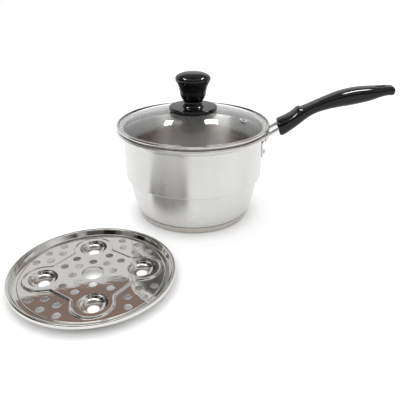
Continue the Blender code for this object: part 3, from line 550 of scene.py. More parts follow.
# The room: reflections see the ceiling's colour with the patches laid over it, and matt surfaces
# get the fill, a soft light from above
roomLook = {
    "ceiling": (0.80, 0.80, 0.80),
    "fill": 1.22,
    "fillRise": (3, 44),  # elevations between which the soft light comes up
    "fillFall": (50, 75),  # elevations between which it goes down to its share overhead
    "overhead": 0.55,
    # middle and half width of the azimuth, lowest and highest elevation, softness of the sides
    # and of the ends, all in degrees, and the colour
    "patches": (
        (0, 181, 66, 100, 1, 15, (0.24, 0.235, 0.23)),
        (90, 75, 35.5, 52, 30, 0.6, (0.30, 0.22, 0.185)),
        (90, 75, 49, 60, 30, 14, (0.45, 0.42, 0.40)),
        (-110, 70, 3, 42, 30, 5, (0.10, 0.095, 0.09)),
        (-153, 7, -2, 60, 5, 8, (0.01, 0.01, 0.01)),
        (-131, 10, -2, 60, 6, 8, (0.25, 0.25, 0.25)),
        (-104, 9, -2, 60, 5, 8, (0.02, 0.015, 0.012)),
        (-90, 60, 46, 64, 25, 6, (2.1, 2.1, 2.1)),
        (178, 13, -2, 70, 6, 10, (0.06, 0.06, 0.06)),
        (-63, 6, 0, 60, 8, 8, (0.50, 0.49, 0.48)),
        (0, 12, 0, 50, 12, 8, (0.55, 0.55, 0.55)),
    ),
}


def addWorld():
    world = bpy.data.worlds.new("studio")
    bpy.context.scene.world = world
    world.use_nodes = True
    world.cycles.sampling_method = "NONE"
    tree = world.node_tree
    tree.nodes.clear()
    direction = put(tree, "ShaderNodeTexCoord").outputs["Generated"]
    parts = put(tree, "ShaderNodeSeparateXYZ", {0: direction}).outputs
    azimuth = calc(tree, "DEGREES", calc(tree, "ARCTAN2", parts[1], parts[0]))
    elevation = calc(tree, "DEGREES", calc(tree, "ARCSINE", parts[2]))

    def within(value, low, high, soft):
        rise = smoothStep(tree, value, low - soft / 2, low + soft / 2)
        fall = smoothStep(tree, value, high + soft / 2, high - soft / 2)
        return calc(tree, "MULTIPLY", rise, fall)

    room = roomLook["ceiling"]
    for middle, half, low, high, softSide, softEnd, colour in roomLook["patches"]:
        turn = calc(tree, "SUBTRACT", azimuth, middle)
        turn = put(tree, "ShaderNodeMath", {0: turn, 1: 180.0, 2: -180.0}, operation="WRAP")
        across = within(turn.outputs[0], -half, half, softSide)
        mask = calc(tree, "MULTIPLY", across, within(elevation, low, high, softEnd))
        room = blendColours(tree, mask, room, colour)
    # the camera sees white, also straight through the glass; reflections see the room
    path = put(tree, "ShaderNodeLightPath").outputs
    bounced = calc(tree, "ADD", path["Glossy Depth"], path["Diffuse Depth"])
    direct = calc(tree, "LESS_THAN", bounced, 0.5)
    through = calc(tree, "MULTIPLY", path["Is Transmission Ray"], direct)
    seen = calc(tree, "MAXIMUM", path["Is Camera Ray"], through)
    mirrored = calc(tree, "MAXIMUM", path["Is Glossy Ray"], path["Is Transmission Ray"])
    fill = smoothStep(tree, elevation, *roomLook["fillRise"], 0.0, roomLook["fill"])
    fall = smoothStep(tree, elevation, *roomLook["fillFall"], 1.0, roomLook["overhead"])
    fill = calc(tree, "MULTIPLY", fill, fall)
    both = blendColours(tree, seen, blendColours(tree, mirrored, fill, room), (1, 1, 1))
    back = put(tree, "ShaderNodeBackground", {"Color": both, "Strength": 1.0})
    put(tree, "ShaderNodeOutputWorld", {"Surface": back.outputs[0]})


# A lamp with shineOn is seen only as a reflection, in the pieces named there
lamps = {
    "overhead": {
        "place": (-0.5, 0.4, 1.7),
        "aim": (0.0, -0.05, 0.05),
        "size": (0.5, 0.5),
        "power": 3.0,
    },
    "leftBox": {
        "place": (-0.092, 0.243, 0.326),
        "aim": (-0.029, -0.044, 0.137),
        "size": (0.025, 0.038),
        "spin": -22,  # degrees
        "power": 0.055,
        "shineOn": ("lidGlass",),
    },
    "rightBox": {
        "place": (0.032, 0.251, 0.329),
        "aim": (0.024, -0.041, 0.138),
        "size": (0.066, 0.038),
        "spin": 12,
        "power": 0.14,
        "shineOn": ("lidGlass",),
    },
    "leftSoft": {
        "place": (-0.53, -0.14, 0.88),
        "aim": (0.0, 0.0, 0.16),
        "size": (0.32, 0.09),
        "power": 4.0,
        "shineOn": ("knobBody", "knobCollar", "gripBody"),
    },
    "rightSoft": {
        "place": (0.58, 0.06, 0.86),
        "aim": (0.0, 0.0, 0.16),
        "size": (0.32, 0.09),
        "power": 5.0,
        "shineOn": ("knobBody", "knobCollar"),
    },
    "gripSoft": {
        "place": (0.25, 0.30, 0.90),
        "aim": (0.20, -0.01, 0.17),
        "size": (0.30, 0.20),
        "power": 7.0,
        "shineOn": ("gripBody",),
    },
    "leftSmear": {
        "place": (0.030, 0.022, 0.115),
        "aim": (-0.042, 0.081, 0.085),
        "size": (0.016, 0.02),
        "power": 0.003,
        "shineOn": ("potShell",),
    },
    "rightSmear": {
        "place": (-0.034, 0.020, 0.115),
        "aim": (0.030, 0.085, 0.085),
        "size": (0.028, 0.02),
        "power": 0.012,
        "shineOn": ("potShell",),
    },
}


def addLamps():
    for name, look in lamps.items():
        light = bpy.data.lights.new(name, "AREA")
        light.shape = "RECTANGLE"
        light.size, light.size_y = look["size"]
        light.energy = look["power"]
        lamp = newObject(name, light)
        lamp.location = look["place"]
        facing = Vector(look["aim"]) - Vector(look["place"])
        spin = Matrix.Rotation(math.radians(look.get("spin", 0)), 3, "Z")
        lamp.rotation_euler = (facing.to_track_quat("-Z", "Y").to_matrix() @ spin).to_euler()
        lamp.visible_camera = False
        lamp.visible_transmission = False
        lamp.visible_glossy = "shineOn" in look
        lamp.visible_diffuse = "shineOn" not in look
        if "shineOn" in look:
            pieces = bpy.data.collections.new(name)
            for piece in look["shineOn"]:
                pieces.objects.link(bpy.data.objects[piece])
            lamp.light_linking.receiver_collection = pieces


# Pot body, drawn from one sheet
potSizes = {
    "wallR": 0.0914,
    "draft": 0.0004,  # the wall is narrower by this at the ledge
    "draftH": 0.0250,  # and has its full width this far above it
    "sheet": 0.0008,
    "height": 0.1203,
    "stepZ": 0.0556,
    "stepIn": 0.0058,
    "stepBend": 0.0024,
    "ledgeDrop": 0.0012,
    "footR": 0.0768,
    "footBend": 0.0018,
    "bellyPower": 1.9,  # 1 for a straight cone below the ledge
    "rimOut": 0.0079,
    "rimRoll": 0.0020,
    "rimTurn": (215, 500),  # degrees round the roll, from the flare to inside the rim
    "rimDrop": 0.0098,
    "flareBend": 0.0040,
    "flareEnd": 125,  # degrees; the flare starts at 180
    "floorZ": 0.0092,
}


def potLine():
    # outer face of the body, from the middle of its floor up to the rolled rim
    p = potSizes
    stepR = p["wallR"] - p["stepIn"]
    line = [(0, p["floorZ"])]
    line += [(p["footR"] * t, p["floorZ"]) for t in (0.3, 0.6, 0.9)]
    low = p["floorZ"] + p["footBend"]
    line += arc((p["footR"] - p["footBend"], low), p["footBend"], -90, -20, 8)
    high = p["stepZ"] - p["ledgeDrop"]
    steps = 32
    for i in range(steps + 1):
        t = i / steps
        belly = (stepR - p["footR"]) * (1 - t) ** p["bellyPower"]
        line.append((stepR - belly, low + (high - low) * t))
    bendR = p["wallR"] - p["draft"] - p["stepBend"]
    line += arc((bendR, p["stepZ"] + p["stepBend"]), p["stepBend"], -90, 0, 12)
    bare = p["height"] - p["rimDrop"] - p["stepZ"] - p["draftH"]
    line += [(p["wallR"], p["stepZ"] + p["draftH"] + bare * t) for t in (0, 0.3, 0.6)]
    flareAt = (p["wallR"] + p["flareBend"], p["height"] - p["rimDrop"])
    return line + arc(flareAt, p["flareBend"], 180, p["flareEnd"], 10)


def potShell():
    p = potSizes
    outer = potLine()
    inner = aside(outer, p["sheet"])
    inner[0] = (0, p["floorZ"] + p["sheet"])
    rollAt = (p["wallR"] + p["rimOut"] - p["rimRoll"], p["height"] - p["rimRoll"])
    roll = arc(rollAt, p["rimRoll"], *p["rimTurn"], 28)
    obj = turned("potShell", outer + roll + inner[::-1], finishes["body"])
    cutAway(obj, rivetHoles())
    settle(obj, "pot", "satin_steel", "pot_shell")


capSizes = {
    "inside": 0.0004,
    "sheet": 0.0006,
    "bend": 0.0030,
    "taper": 0.0016,
}


def baseCap():
    p = capSizes
    topR = potSizes["footR"] - p["inside"]
    lowR = topR - p["taper"]
    line = [(0, 0), (lowR * 0.5, 0)]
    line += arc((lowR - p["bend"], p["bend"]), p["bend"], -90, 0, 12)
    line.append((topR, potSizes["floorZ"] - gap))
    inner = aside(line, p["sheet"])
    inner[0] = (0, p["sheet"])
    obj = turned("baseCap", line + inner[::-1], finishes["base"])
    settle(obj, "pot", "satin_steel", "base_cap")


# Lid: domed glass in a rolled steel ring
lidSizes = {
    "glassSheet": 0.0040,
    "glassR": 0.0969,
    "rise": 0.0163,
    "boreR": 0.0050,
    "ringSheet": 0.0008,
    "nose": 0.0020,
    "noseOut": 0.0001,
    "cover": 0.0006,  # of the ring over the glass
    "skirtPlay": 0.0005,
    "skirtH": 0.0060,
    "shelfIn": 0.0003,
    "skirtBend": (0.0014, 0.0010),
}


def underGlass():
    return potSizes["height"] + gap + lidSizes["ringSheet"] + gap


def domeBend():
    # radius of the glass's upper face
    baseR = lidSizes["glassR"] - lidSizes["glassSheet"] / 2
    return (baseR**2 + lidSizes["rise"] ** 2) / (2 * lidSizes["rise"])


def dome(radius, lift=0.0):
    # height of the glass's upper face
    bend = domeBend()
    crown = underGlass() + lidSizes["glassSheet"] + lidSizes["rise"]
    return crown - bend + math.sqrt(bend**2 - radius**2) + lift


ventSizes = {
    "at": 0.0675,  # from the axis
    "turn": -18,  # degrees
    "flangeR": 0.0052,
    "tailR": 0.0045,
    "tubeR": 0.0032,
    "boreR": 0.0018,
    "flangeH": 0.0008,
    "flangeEdge": 0.0004,
    "boreEdge": 0.0005,
    "boreEdgeIn": 0.0007,
    "flare": 0.6,  # share of the flange's height at which the bore opens and the tail turns in
}


def ventPlace():
    tilt = math.asin(ventSizes["at"] / domeBend())
    turn = math.radians(ventSizes["turn"])
    flat = Vector((math.cos(turn), math.sin(turn), 0))
    origin = flat * ventSizes["at"] + Vector((0, 0, dome(ventSizes["at"])))
    return placeAlong(origin, flat * math.sin(tilt) + Vector((0, 0, math.cos(tilt))))


def cutAway(obj, cutters):
    for tool in cutters:
        modifier = obj.modifiers.new("cut", "BOOLEAN")
        modifier.operation = "DIFFERENCE"
        modifier.solver = "EXACT"
        modifier.object = tool
    bake(obj)
    for tool in cutters:
        bpy.data.objects.remove(tool, do_unlink=True)
    return soften(obj)


def roundCutter(name, radius, start, stop, facets, place):
    # a plain cylinder along the place's Z
    outline = [(0, start), (radius, start), (radius, stop), (0, stop)]
    return turned(name, outline, None, facets, place)


def lidGlass():
    p = lidSizes
    baseR = p["glassR"] - p["glassSheet"] / 2
    steps = 40
    radii = [p["boreR"] + (baseR - p["boreR"]) * i / steps for i in range(steps)]
    top = [(r, dome(r)) for r in radii]
    low = [(r, dome(r, -p["glassSheet"])) for r in radii]
    edge = arc((baseR, underGlass() + p["glassSheet"] / 2), p["glassSheet"] / 2, -90, 90, 12)
    obj = turned("lidGlass", low + edge + top[::-1], finishes["glass"])
    reach = 2 * p["glassSheet"]
    holeR = ventSizes["tubeR"] + gap
    cutAway(obj, [roundCutter("ventHole", holeR, -reach, reach, 32, ventPlace())])
    settle(obj, "lid", "glass", "lid_glass")


def lidRing():
    p = lidSizes
    rimR = potSizes["wallR"] + potSizes["rimOut"]
    noseZ = underGlass() + p["glassSheet"] + gap + p["ringSheet"] - p["nose"]
    lip = (p["glassR"] - p["cover"], noseZ + p["nose"])
    skirtR = potSizes["wallR"] - potSizes["sheet"] - p["skirtPlay"]
    under = potSizes["height"] + gap
    line = [lip]
    line += arc((rimR - p["nose"] + p["noseOut"], noseZ), p["nose"], 90, -60, 20)
    line.append((p["glassR"] - p["shelfIn"], under))
    line.append((skirtR + p["skirtBend"][0], under))
    line.append((skirtR, under - p["skirtBend"][1]))
    line.append((skirtR, under - gap - p["skirtH"]))
    outline = line + aside(line, -p["ringSheet"])[::-1]
    obj = turned("lidRing", outline[::-1], finishes["ring"])
    settle(obj, "lid", "polished_steel", "lid_ring")


def ventEyelet():
    p = ventSizes
    top = gap
    low = -lidSizes["glassSheet"] - gap
    high = top + p["flangeH"]
    lip, edge = p["boreEdge"], p["flangeEdge"]
    outline = [(p["boreR"], top + p["flangeH"] * p["flare"])]
    outline += arc((p["boreR"] + p["boreEdgeIn"], high - lip), lip, 150, 90, 4)
    outline += arc((p["flangeR"] - edge, top + edge), edge, 60, -90, 6)
    outline += [(p["tubeR"], top), (p["tubeR"], low), (p["tailR"], low)]
    outline += [(p["tailR"], low - p["flangeH"] * p["flare"]), (p["boreR"], low - p["flangeH"])]
    obj = turned("ventEyelet", outline[::-1], finishes["polished"], 48, ventPlace())
    settle(obj, "lid", "polished_steel", "vent_eyelet")


# Knob and its collar
knobSizes = {
    "sealH": 0.0009,
    "boreR": 0.0026,
    "collarR": 0.0311,
    "collarH": 0.0034,
    "drop": 0.0020,
    "edge": 0.0017,
    "bossR": 0.0100,
    "hollow": 0.0012,  # under the collar
    "rim": 0.0030,
    "socketR": 0.0048,
    "socketH": 0.0169,
    # radius, height above the collar
    "line": (
        (0.0147, 0.0000),
        (0.0134, 0.0016),
        (0.0125, 0.0048),
        (0.0127, 0.0075),
        (0.0143, 0.0098),
        (0.0162, 0.0135),
        (0.0169, 0.0175),
        (0.0176, 0.0215),
        (0.0193, 0.0270),
        (0.0218, 0.0315),
        (0.0224, 0.0345),
        (0.0215, 0.0370),
        (0.0184, 0.0396),
        (0.0110, 0.0419),
        (0.0000, 0.0428),
    ),
}


def knobAndCollar():
    p = knobSizes
    low = dome(0) + gap + p["sealH"] + gap
    high = low + p["collarH"]
    edgeR = p["collarR"] - p["edge"]
    line = [(p["boreR"], low), (p["bossR"], low), (p["bossR"] + p["hollow"], low + p["hollow"])]
    line += [(p["collarR"] - p["rim"], low + p["hollow"])]
    line += arc((edgeR, low - p["drop"] + p["edge"]), p["edge"], -120, 0, 12)
    line += arc((edgeR, high - p["edge"]), p["edge"], 0, 90, 10)
    line += [(p["bossR"], high), (p["boreR"], high)]
    collar = turned("knobCollar", line, finishes["bakelite"], 128)
    settle(collar, "lid", "bakelite", "knob_collar")
    foot = high + gap
    shape = [(0, foot + p["socketH"]), (p["socketR"], foot + p["socketH"]), (p["socketR"], foot)]
    shape += [(r, foot + z) for r, z in smoothLine(p["line"], 6)]
    knob = turned("knobBody", shape, finishes["bakelite"], 128)
    settle(knob, "lid", "bakelite", "knob")


# What clamps the knob to the glass
clampSizes = {
    "upperSealR": 0.0090,
    "lowerSealR": 0.0100,
    "washerR": 0.0082,
    "washerH": 0.0008,
    "screwR": 0.0023,
    "headR": 0.0042,
    "headH": 0.0022,
    "insertR": 0.0045,
    "insertH": 0.0160,
    "edge": 0.0002,
}


def flatRing(name, node, radius, low, height, finish, slot):
    p = clampSizes
    edge = p["edge"]
    bore = p["screwR"] + gap
    high = low + height
    line = [(bore, low), (radius - edge, low), (radius, low + edge)]
    line += [(radius, high - edge), (radius - edge, high), (bore, high)]
    settle(turned(name, line, finishes[finish], 96), "lid", slot, node)


# Shape of every screw's head; lengths and widths are shares of the head's radius
headSizes = {
    "flat": 0.5,
    "shoulder": 0.86,
    "shoulderDown": 0.0004,
    "side": 0.5,  # share of the head's height
    "crossLength": 1.1,
    "crossWidth": 0.26,
    "crossDepth": 0.0016,  # of the cutter, half of it in the head
}


def screwHead(radius, height, top, down):
    # outline of a screw's head from its axis outwards; down is the way into the head, 1 or -1
    p = headSizes
    line = [(0, top), (radius * p["flat"], top)]
    line.append((radius * p["shoulder"], top + down * p["shoulderDown"]))
    line.append((radius, top + down * height * p["side"]))
    return smoothLine(line, 5)


def block(name, place, size):
    bm = bmesh.new()
    bmesh.ops.create_cube(bm, size=1.0)
    bm.transform(place @ Matrix.Diagonal((*size, 1)))
    return fromBmesh(name, bm)


def crossCut(place, radius):
    # the cross recess in a screw's head
    p = headSizes
    size = (radius * p["crossLength"], radius * p["crossWidth"], p["crossDepth"])
    turns = [Matrix.Rotation(math.radians(turn), 4, "Z") for turn in (0, 90)]
    return [block("recess", place @ turn, size) for turn in turns]


def clampParts():
    p = clampSizes
    sealH = knobSizes["sealH"]
    glassTop = dome(0) + gap
    glassLow = dome(p["lowerSealR"] + gap, -lidSizes["glassSheet"]) - gap
    washerLow = glassLow - sealH - gap - p["washerH"]
    foot = glassTop + sealH + gap + knobSizes["collarH"] + gap
    sealLow = glassLow - sealH
    steel = ("polished", "polished_steel")
    flatRing("upperSeal", "upper_seal", p["upperSealR"], glassTop, sealH, "silicone", "silicone")
    flatRing("lowerSeal", "lower_seal", p["lowerSealR"], sealLow, sealH, "silicone", "silicone")
    flatRing("screwWasher", "screw_washer", p["washerR"], washerLow, p["washerH"], *steel)
    flatRing("knobInsert", "knob_insert", p["insertR"], foot + gap, p["insertH"], "brass", "brass")
    seat = washerLow - gap
    head = seat - p["headH"]
    line = screwHead(p["headR"], p["headH"], head, 1) + [(p["headR"], seat)]
    line += [(p["screwR"], seat), (p["screwR"], foot + p["insertH"]), (0, foot + p["insertH"])]
    screw = turned("knobScrew", line, finishes["polished"], 96)
    cutAway(screw, crossCut(Matrix.Translation((0, 0, head)), p["headR"]))
    settle(screw, "lid", "polished_steel", "knob_screw")


# Handle's bracket, its rivets and the rods that carry the grip
handleSizes = {
    "sheet": 0.0015,
    "top": 0.0120,  # below the rim
    "height": 0.0275,
    "width": 0.0400,
    "footWidth": 0.0300,
    "widening": 1.5,  # how fast the plate reaches its full width above its foot
    "corner": 0.0050,
    "edge": 0.0005,
    "rivetDown": 0.0322,  # below the rim
    "rivetApart": 0.0180,
    "rivetR": 0.0023,
    "headR": 0.0040,
    "headH": 0.0022,
    "tailH": 0.0011,
    # outlines of the rivet's head and tail, in shares of the head's radius and of their heights
    "headShape": ((1, 0), (0.97, 0.28), (0.84, 0.62), (0.55, 0.89), (0, 1)),
    "tailShape": ((0, 1), (0.7, 1), (0.9, 0.9), (1, 0.5), (1, 0)),
    "rodBend": 0.0080,
    "rodTail": 0.0170,  # below the rim
    "rodTip": 0.45,  # radius of the lower end, as a share of the rest
    "rodTipRound": 0.0008,
    "rodTipDome": 0.7,  # 0 for a flat tip, 1 for a full round
}


def bracketPlate():
    p = handleSizes
    high = potSizes["height"] - p["top"]
    low = high - p["height"]
    turns = [1 - math.cos(math.radians(a)) for a in range(0, 91, 10)]
    straight = p["height"] - 2 * p["corner"]
    levels = [low + p["corner"] * t for t in turns]
    levels += [low + p["corner"] + straight * i / 12 for i in range(1, 12)]
    levels += [high - p["corner"] * t for t in reversed(turns)]
    columns = 40
    bm = bmesh.new()
    grids = []
    for radius in (potSizes["wallR"] + gap, potSizes["wallR"] + gap + p["sheet"]):
        grid = []
        for z in levels:
            spread = min((z - low) / p["height"] * p["widening"], 1)
            width = p["footWidth"] + (p["width"] - p["footWidth"]) * spread
            reach = (width / 2 - rounding(min(z - low, high - z), p["corner"])) / radius
            angles = [reach * (2 * i / columns - 1) for i in range(columns + 1)]
            row = [(radius * math.cos(a), radius * math.sin(a), z) for a in angles]
            grid.append([bm.verts.new(place) for place in row])
        grids.append(grid)
    edges = []
    for grid in grids:
        for row, above in zip(grid, grid[1:]):
            for i in range(columns):
                bm.faces.new((row[i], row[i + 1], above[i + 1], above[i]))
        right = [row[-1] for row in grid[1:-1]]
        left = [row[0] for row in grid[-2:0:-1]]
        edges.append(grid[0] + right + grid[-1][::-1] + left)
    for i in range(len(edges[0])):
        j = (i + 1) % len(edges[0])
        bm.faces.new((edges[0][i], edges[0][j], edges[1][j], edges[1][i]))
    bmesh.ops.recalc_face_normals(bm, faces=bm.faces)
    obj = fromBmesh("bracketPlate", bm)
    obj.data.materials.append(finishes["polished"])
    bevel = obj.modifiers.new("round", "BEVEL")
    bevel.width = p["edge"]
    bevel.segments = 4
    bevel.limit_method = "ANGLE"
    bevel.angle_limit = math.radians(50)
    bake(obj)
    cutAway(obj, rivetHoles())
    settle(obj, "pot", "polished_steel", "bracket_plate")


def rivetTurn():
    return math.asin(handleSizes["rivetApart"] / 2 / potSizes["wallR"])


def rivetHoles():
    p = handleSizes
    near = potSizes["wallR"] - 5 * potSizes["sheet"]
    far = potSizes["wallR"] + 4 * p["sheet"]
    tools = []
    for turn in (-rivetTurn(), rivetTurn()):
        origin = Vector((0, 0, potSizes["height"] - p["rivetDown"]))
        place = placeAlong(origin, (math.cos(turn), math.sin(turn), 0))
        tools.append(roundCutter("rivetHole", p["rivetR"] + gap, near, far, 48, place))
    return tools


def rivets():
    p = handleSizes
    wallIn = potSizes["wallR"] - potSizes["sheet"]
    inside = wallIn - p["headR"] ** 2 / (2 * wallIn) - gap
    outside = potSizes["wallR"] + gap + p["sheet"] + gap
    line = [(p["headR"] * r, inside - p["tailH"] * h) for r, h in p["tailShape"]]
    line += [(p["rivetR"], inside), (p["rivetR"], outside)]
    head = [(p["headR"] * r, outside + p["headH"] * h) for r, h in p["headShape"]]
    line += smoothLine(head, 6)
    piece = turned("rivet", line, None, 64, Matrix.Rotation(math.pi / 2, 4, "Y"))
    values = {
        "Piece": piece,
        "Radius": 0.0,
        "Groups": 1,
        "In each": 2,
        "Spacing": 2 * rivetTurn(),
        "Height": potSizes["height"] - p["rivetDown"],
        "Turn with it": 1.0,
        "Material": finishes["polished"],
    }
    obj = newObject("rivets", bpy.data.meshes.new("rivets"))
    bake(addTree(obj, trees["row"], values))
    bpy.data.objects.remove(piece, do_unlink=True)
    settle(soften(obj), "pot", "polished_steel", "rivet_near", "rivet_far")


def rodRoute():
    # distance from the pot's axis, height and radius along a rod, from its tail into the grip
    p = handleSizes
    g = gripSizes
    radius = g["rodR"]
    plateOut = potSizes["wallR"] + gap + p["sheet"]
    uprightX = math.sqrt(plateOut**2 - (g["rodApart"] / 2) ** 2) + gap + radius
    pitch = math.radians(g["pitch"])
    slant = (g["front"] - uprightX) / math.cos(pitch)
    cornerZ = g["z"] - math.sin(pitch) * slant
    trim = p["rodBend"] * math.tan((math.pi / 2 - pitch) / 2)
    low = potSizes["height"] - p["rodTail"]
    tailX = uprightX - radius * (1 - p["rodTip"])
    first = (uprightX, cornerZ - trim)
    route = []
    for t in (0, 0.25, 0.6, 1):
        up = p["rodTipRound"] * t / (first[1] - low)
        share = p["rodTip"] + (1 - p["rodTip"]) * up
        share *= math.sqrt(1 - (1 - t) ** 2 * p["rodTipDome"])
        x = tailX + (uprightX - tailX) * up
        route.append((x, low + p["rodTipRound"] * t, radius * share))
    bend = arc((uprightX + p["rodBend"], first[1]), p["rodBend"], 180, 90 + g["pitch"], 20)
    route += [(x, z, radius) for x, z in bend]
    endX = g["front"] + math.cos(pitch) * g["rodIn"]
    endZ = g["z"] + math.sin(pitch) * g["rodIn"]
    return route + [(endX, endZ, radius)]


def rods():
    curve = bpy.data.curves.new("rods", "CURVE")
    curve.dimensions = "3D"
    route = rodRoute()
    for side in (-1, 1):
        spline = curve.splines.new("POLY")
        spline.points.add(len(route) - 1)
        for point, (x, z, radius) in zip(spline.points, route):
            point.co = (x, side * gripSizes["rodApart"] / 2, z, 1)
            point.radius = radius
    paths = addTree(newObject("rodPaths", curve), trees["rod"], {"Material": finishes["rod"]})
    obj = newObject("rods", shapedMesh(paths))
    bpy.data.objects.remove(paths, do_unlink=True)
    settle(soften(obj), "pot", "polished_steel", "rod_near", "rod_far")


# Grip: sections lofted along +X, in distances from its front and heights over the rods' way in
gripSizes = {
    "front": 0.1120,
    "z": 0.1223,
    "round": 0.0024,
    "endRound": 0.0018,
    "lean": 0.0022,
    "leanRun": 0.0500,
    "square": 2.5,  # 2 for an oval section, more for a squarer one
    "pitch": 34,  # degrees, of the rods
    "rodApart": 0.0232,
    "rodR": 0.0024,
    "rodIn": 0.0240,
    "socketBefore": 0.0300,
    "bridgeIn": 0.0170,
    "bridgeLength": 0.0110,
    "bridgeH": 0.0026,
    "pocketBefore": 0.0120,
    "screwR": 0.0019,
    "screwHeadR": 0.0038,
    "screwHeadH": 0.0022,
    "screwDown": 0.0072,
    "seatH": 0.0228,
    # along, top, crease, underside, half widths above and below the crease
    "stations": (
        (-0.0020, 0.0091, -0.0024, -0.0095, 0.0150, 0.0154),
        (0.0010, 0.0104, -0.0002, -0.0114, 0.0151, 0.0155),
        (0.0028, 0.0112, 0.0011, -0.0125, 0.0152, 0.0156),
        (0.0048, 0.0121, 0.0026, -0.0121, 0.0153, 0.0157),
        (0.0070, 0.0132, 0.0043, -0.0109, 0.0154, 0.0158),
        (0.0100, 0.0148, 0.0067, -0.0089, 0.0154, 0.0158),
        (0.0150, 0.0182, 0.0106, -0.0050, 0.0154, 0.0158),
        (0.0180, 0.0211, 0.0130, -0.0028, 0.0153, 0.0158),
        (0.0206, 0.0241, 0.0150, -0.0008, 0.0149, 0.0157),
        (0.0230, 0.0250, 0.0168, 0.0013, 0.0139, 0.0154),
        (0.0265, 0.0245, 0.0194, 0.0042, 0.0130, 0.0149),
        (0.0320, 0.0266, 0.0230, 0.0092, 0.0123, 0.0143),
        (0.0420, 0.0314, 0.0281, 0.0161, 0.0117, 0.0136),
        (0.0560, 0.0382, 0.0337, 0.0215, 0.0120, 0.0136),
        (0.0720, 0.0448, 0.0392, 0.0254, 0.0134, 0.0145),
        (0.0900, 0.0494, 0.0428, 0.0289, 0.0142, 0.0152),
        (0.1080, 0.0513, 0.0453, 0.0335, 0.0134, 0.0144),
        (0.1240, 0.0519, 0.0476, 0.0393, 0.0118, 0.0127),
        (0.1310, 0.0525, 0.0485, 0.0408, 0.0112, 0.0121),
        (0.1372, 0.0523, 0.0489, 0.0409, 0.0110, 0.0119),
    ),
    "slotFromEnd": 0.0157,
    "slotLength": 0.0130,
    "slotWidth": 0.0068,
    "sectionStep": 0.0012,
    "halfPoints": 26,
}


def readTable(rows, at, column):
    # one column of a table, read smoothly between its rows
    places = [row[0] for row in rows]
    values = [row[column] for row in rows]
    last = len(places) - 1
    i = 0
    while i < last - 1 and at > places[i + 1]:
        i += 1
    step = places[i + 1] - places[i]
    t = (at - places[i]) / step

    def slope(k):
        before, after = max(k - 1, 0), min(k + 1, last)
        return (values[after] - values[before]) / (places[after] - places[before])

    return (
        values[i] * (2 * t**3 - 3 * t**2 + 1)
        + values[i + 1] * (3 * t**2 - 2 * t**3)
        + step * slope(i) * (t**3 - 2 * t**2 + t)
        + step * slope(i + 1) * (t**3 - t**2)
    )


def rounding(distance, radius):
    # how far a rounded end has drawn in at this distance from its face
    short = max(radius - distance, 0)
    return radius - math.sqrt(max(radius**2 - short**2, 0))


def rodAxes():
    # directions along the rods' slope and square to it
    pitch = math.radians(gripSizes["pitch"])
    along = Vector((math.cos(pitch), 0, math.sin(pitch)))
    return along, Vector((-math.sin(pitch), 0, math.cos(pitch)))


def gripSection(along):
    p = gripSizes
    rows = p["stations"]
    length = rows[-1][0]
    fromFront = along - rows[0][0]
    inset = max(rounding(fromFront, p["round"]), rounding(length - along, p["endRound"]))
    lean = p["lean"] * max(1 - fromFront / p["leanRun"], 0)
    crease = readTable(rows, along, 2)
    top = readTable(rows, max(along - lean, rows[0][0]), 1) - crease - inset
    low = crease - readTable(rows, min(along + lean, length), 3) - inset
    halfUp = readTable(rows, along, 4) - inset
    halfLow = readTable(rows, along, 5) - inset
    points = []
    for half, height, side in ((halfUp, top, 1), (halfLow, low, -1)):
        for i in range(p["halfPoints"] + 1):
            turn = math.pi * i / p["halfPoints"]
            turn = turn if side > 0 else math.pi - turn
            power = 2 / p["square"]
            y = half * math.copysign(abs(math.cos(turn)) ** power, math.cos(turn))
            z = height * abs(math.sin(turn)) ** power * side
            points.append((along - lean * abs(z) / height * side, y, crease + z))
    return points


def gripStops():
    p = gripSizes
    first, last = p["stations"][0][0], p["stations"][-1][0]
    turns = [1 - math.cos(math.radians(a)) for a in range(0, 91, 10)]
    start, stop = first + p["round"], last - p["endRound"]
    count = round((stop - start) / p["sectionStep"])
    middle = [start + (stop - start) * i / count for i in range(1, count)]
    ends = [last - p["endRound"] * t for t in reversed(turns)]
    return [first + p["round"] * t for t in turns] + middle + ends


def slotCutter():
    p = gripSizes
    middle = p["front"] + p["stations"][-1][0] - p["slotFromEnd"]
    straight = (p["slotLength"] - p["slotWidth"]) / 2
    outline = arc((straight, 0), p["slotWidth"] / 2, -90, 90, 16)
    outline += arc((-straight, 0), p["slotWidth"] / 2, 90, 270, 16)
    low, high = p["z"], p["z"] + 2 * p["stations"][-1][1]
    bm = bmesh.new()
    face = bm.faces.new([bm.verts.new((middle + x, y, low)) for x, y in outline])
    made = bmesh.ops.extrude_face_region(bm, geom=[face])["geom"]
    lifted = [v for v in made if isinstance(v, bmesh.types.BMVert)]
    bmesh.ops.translate(bm, verts=lifted, vec=(0, 0, high - low))
    bmesh.ops.recalc_face_normals(bm, faces=bm.faces)
    return fromBmesh("slot", bm)


def gripScrew():
    p = gripSizes
    along, up = rodAxes()
    place = placeAlong(Vector((p["front"], 0, p["z"])) + along * p["bridgeIn"], -up)
    seat = p["screwDown"] + gap
    head = seat + p["screwHeadH"]
    tip = -p["bridgeH"] / 2
    line = [(0, tip), (p["screwR"], tip), (p["screwR"], seat), (p["screwHeadR"], seat)]
    line += screwHead(p["screwHeadR"], p["screwHeadH"], head, -1)[::-1]
    obj = turned("gripScrew", line, finishes["polished"], 64, place)
    cutAway(obj, crossCut(place @ Matrix.Translation((0, 0, head)), p["screwHeadR"]))
    settle(obj, "pot", "polished_steel", "grip_screw")


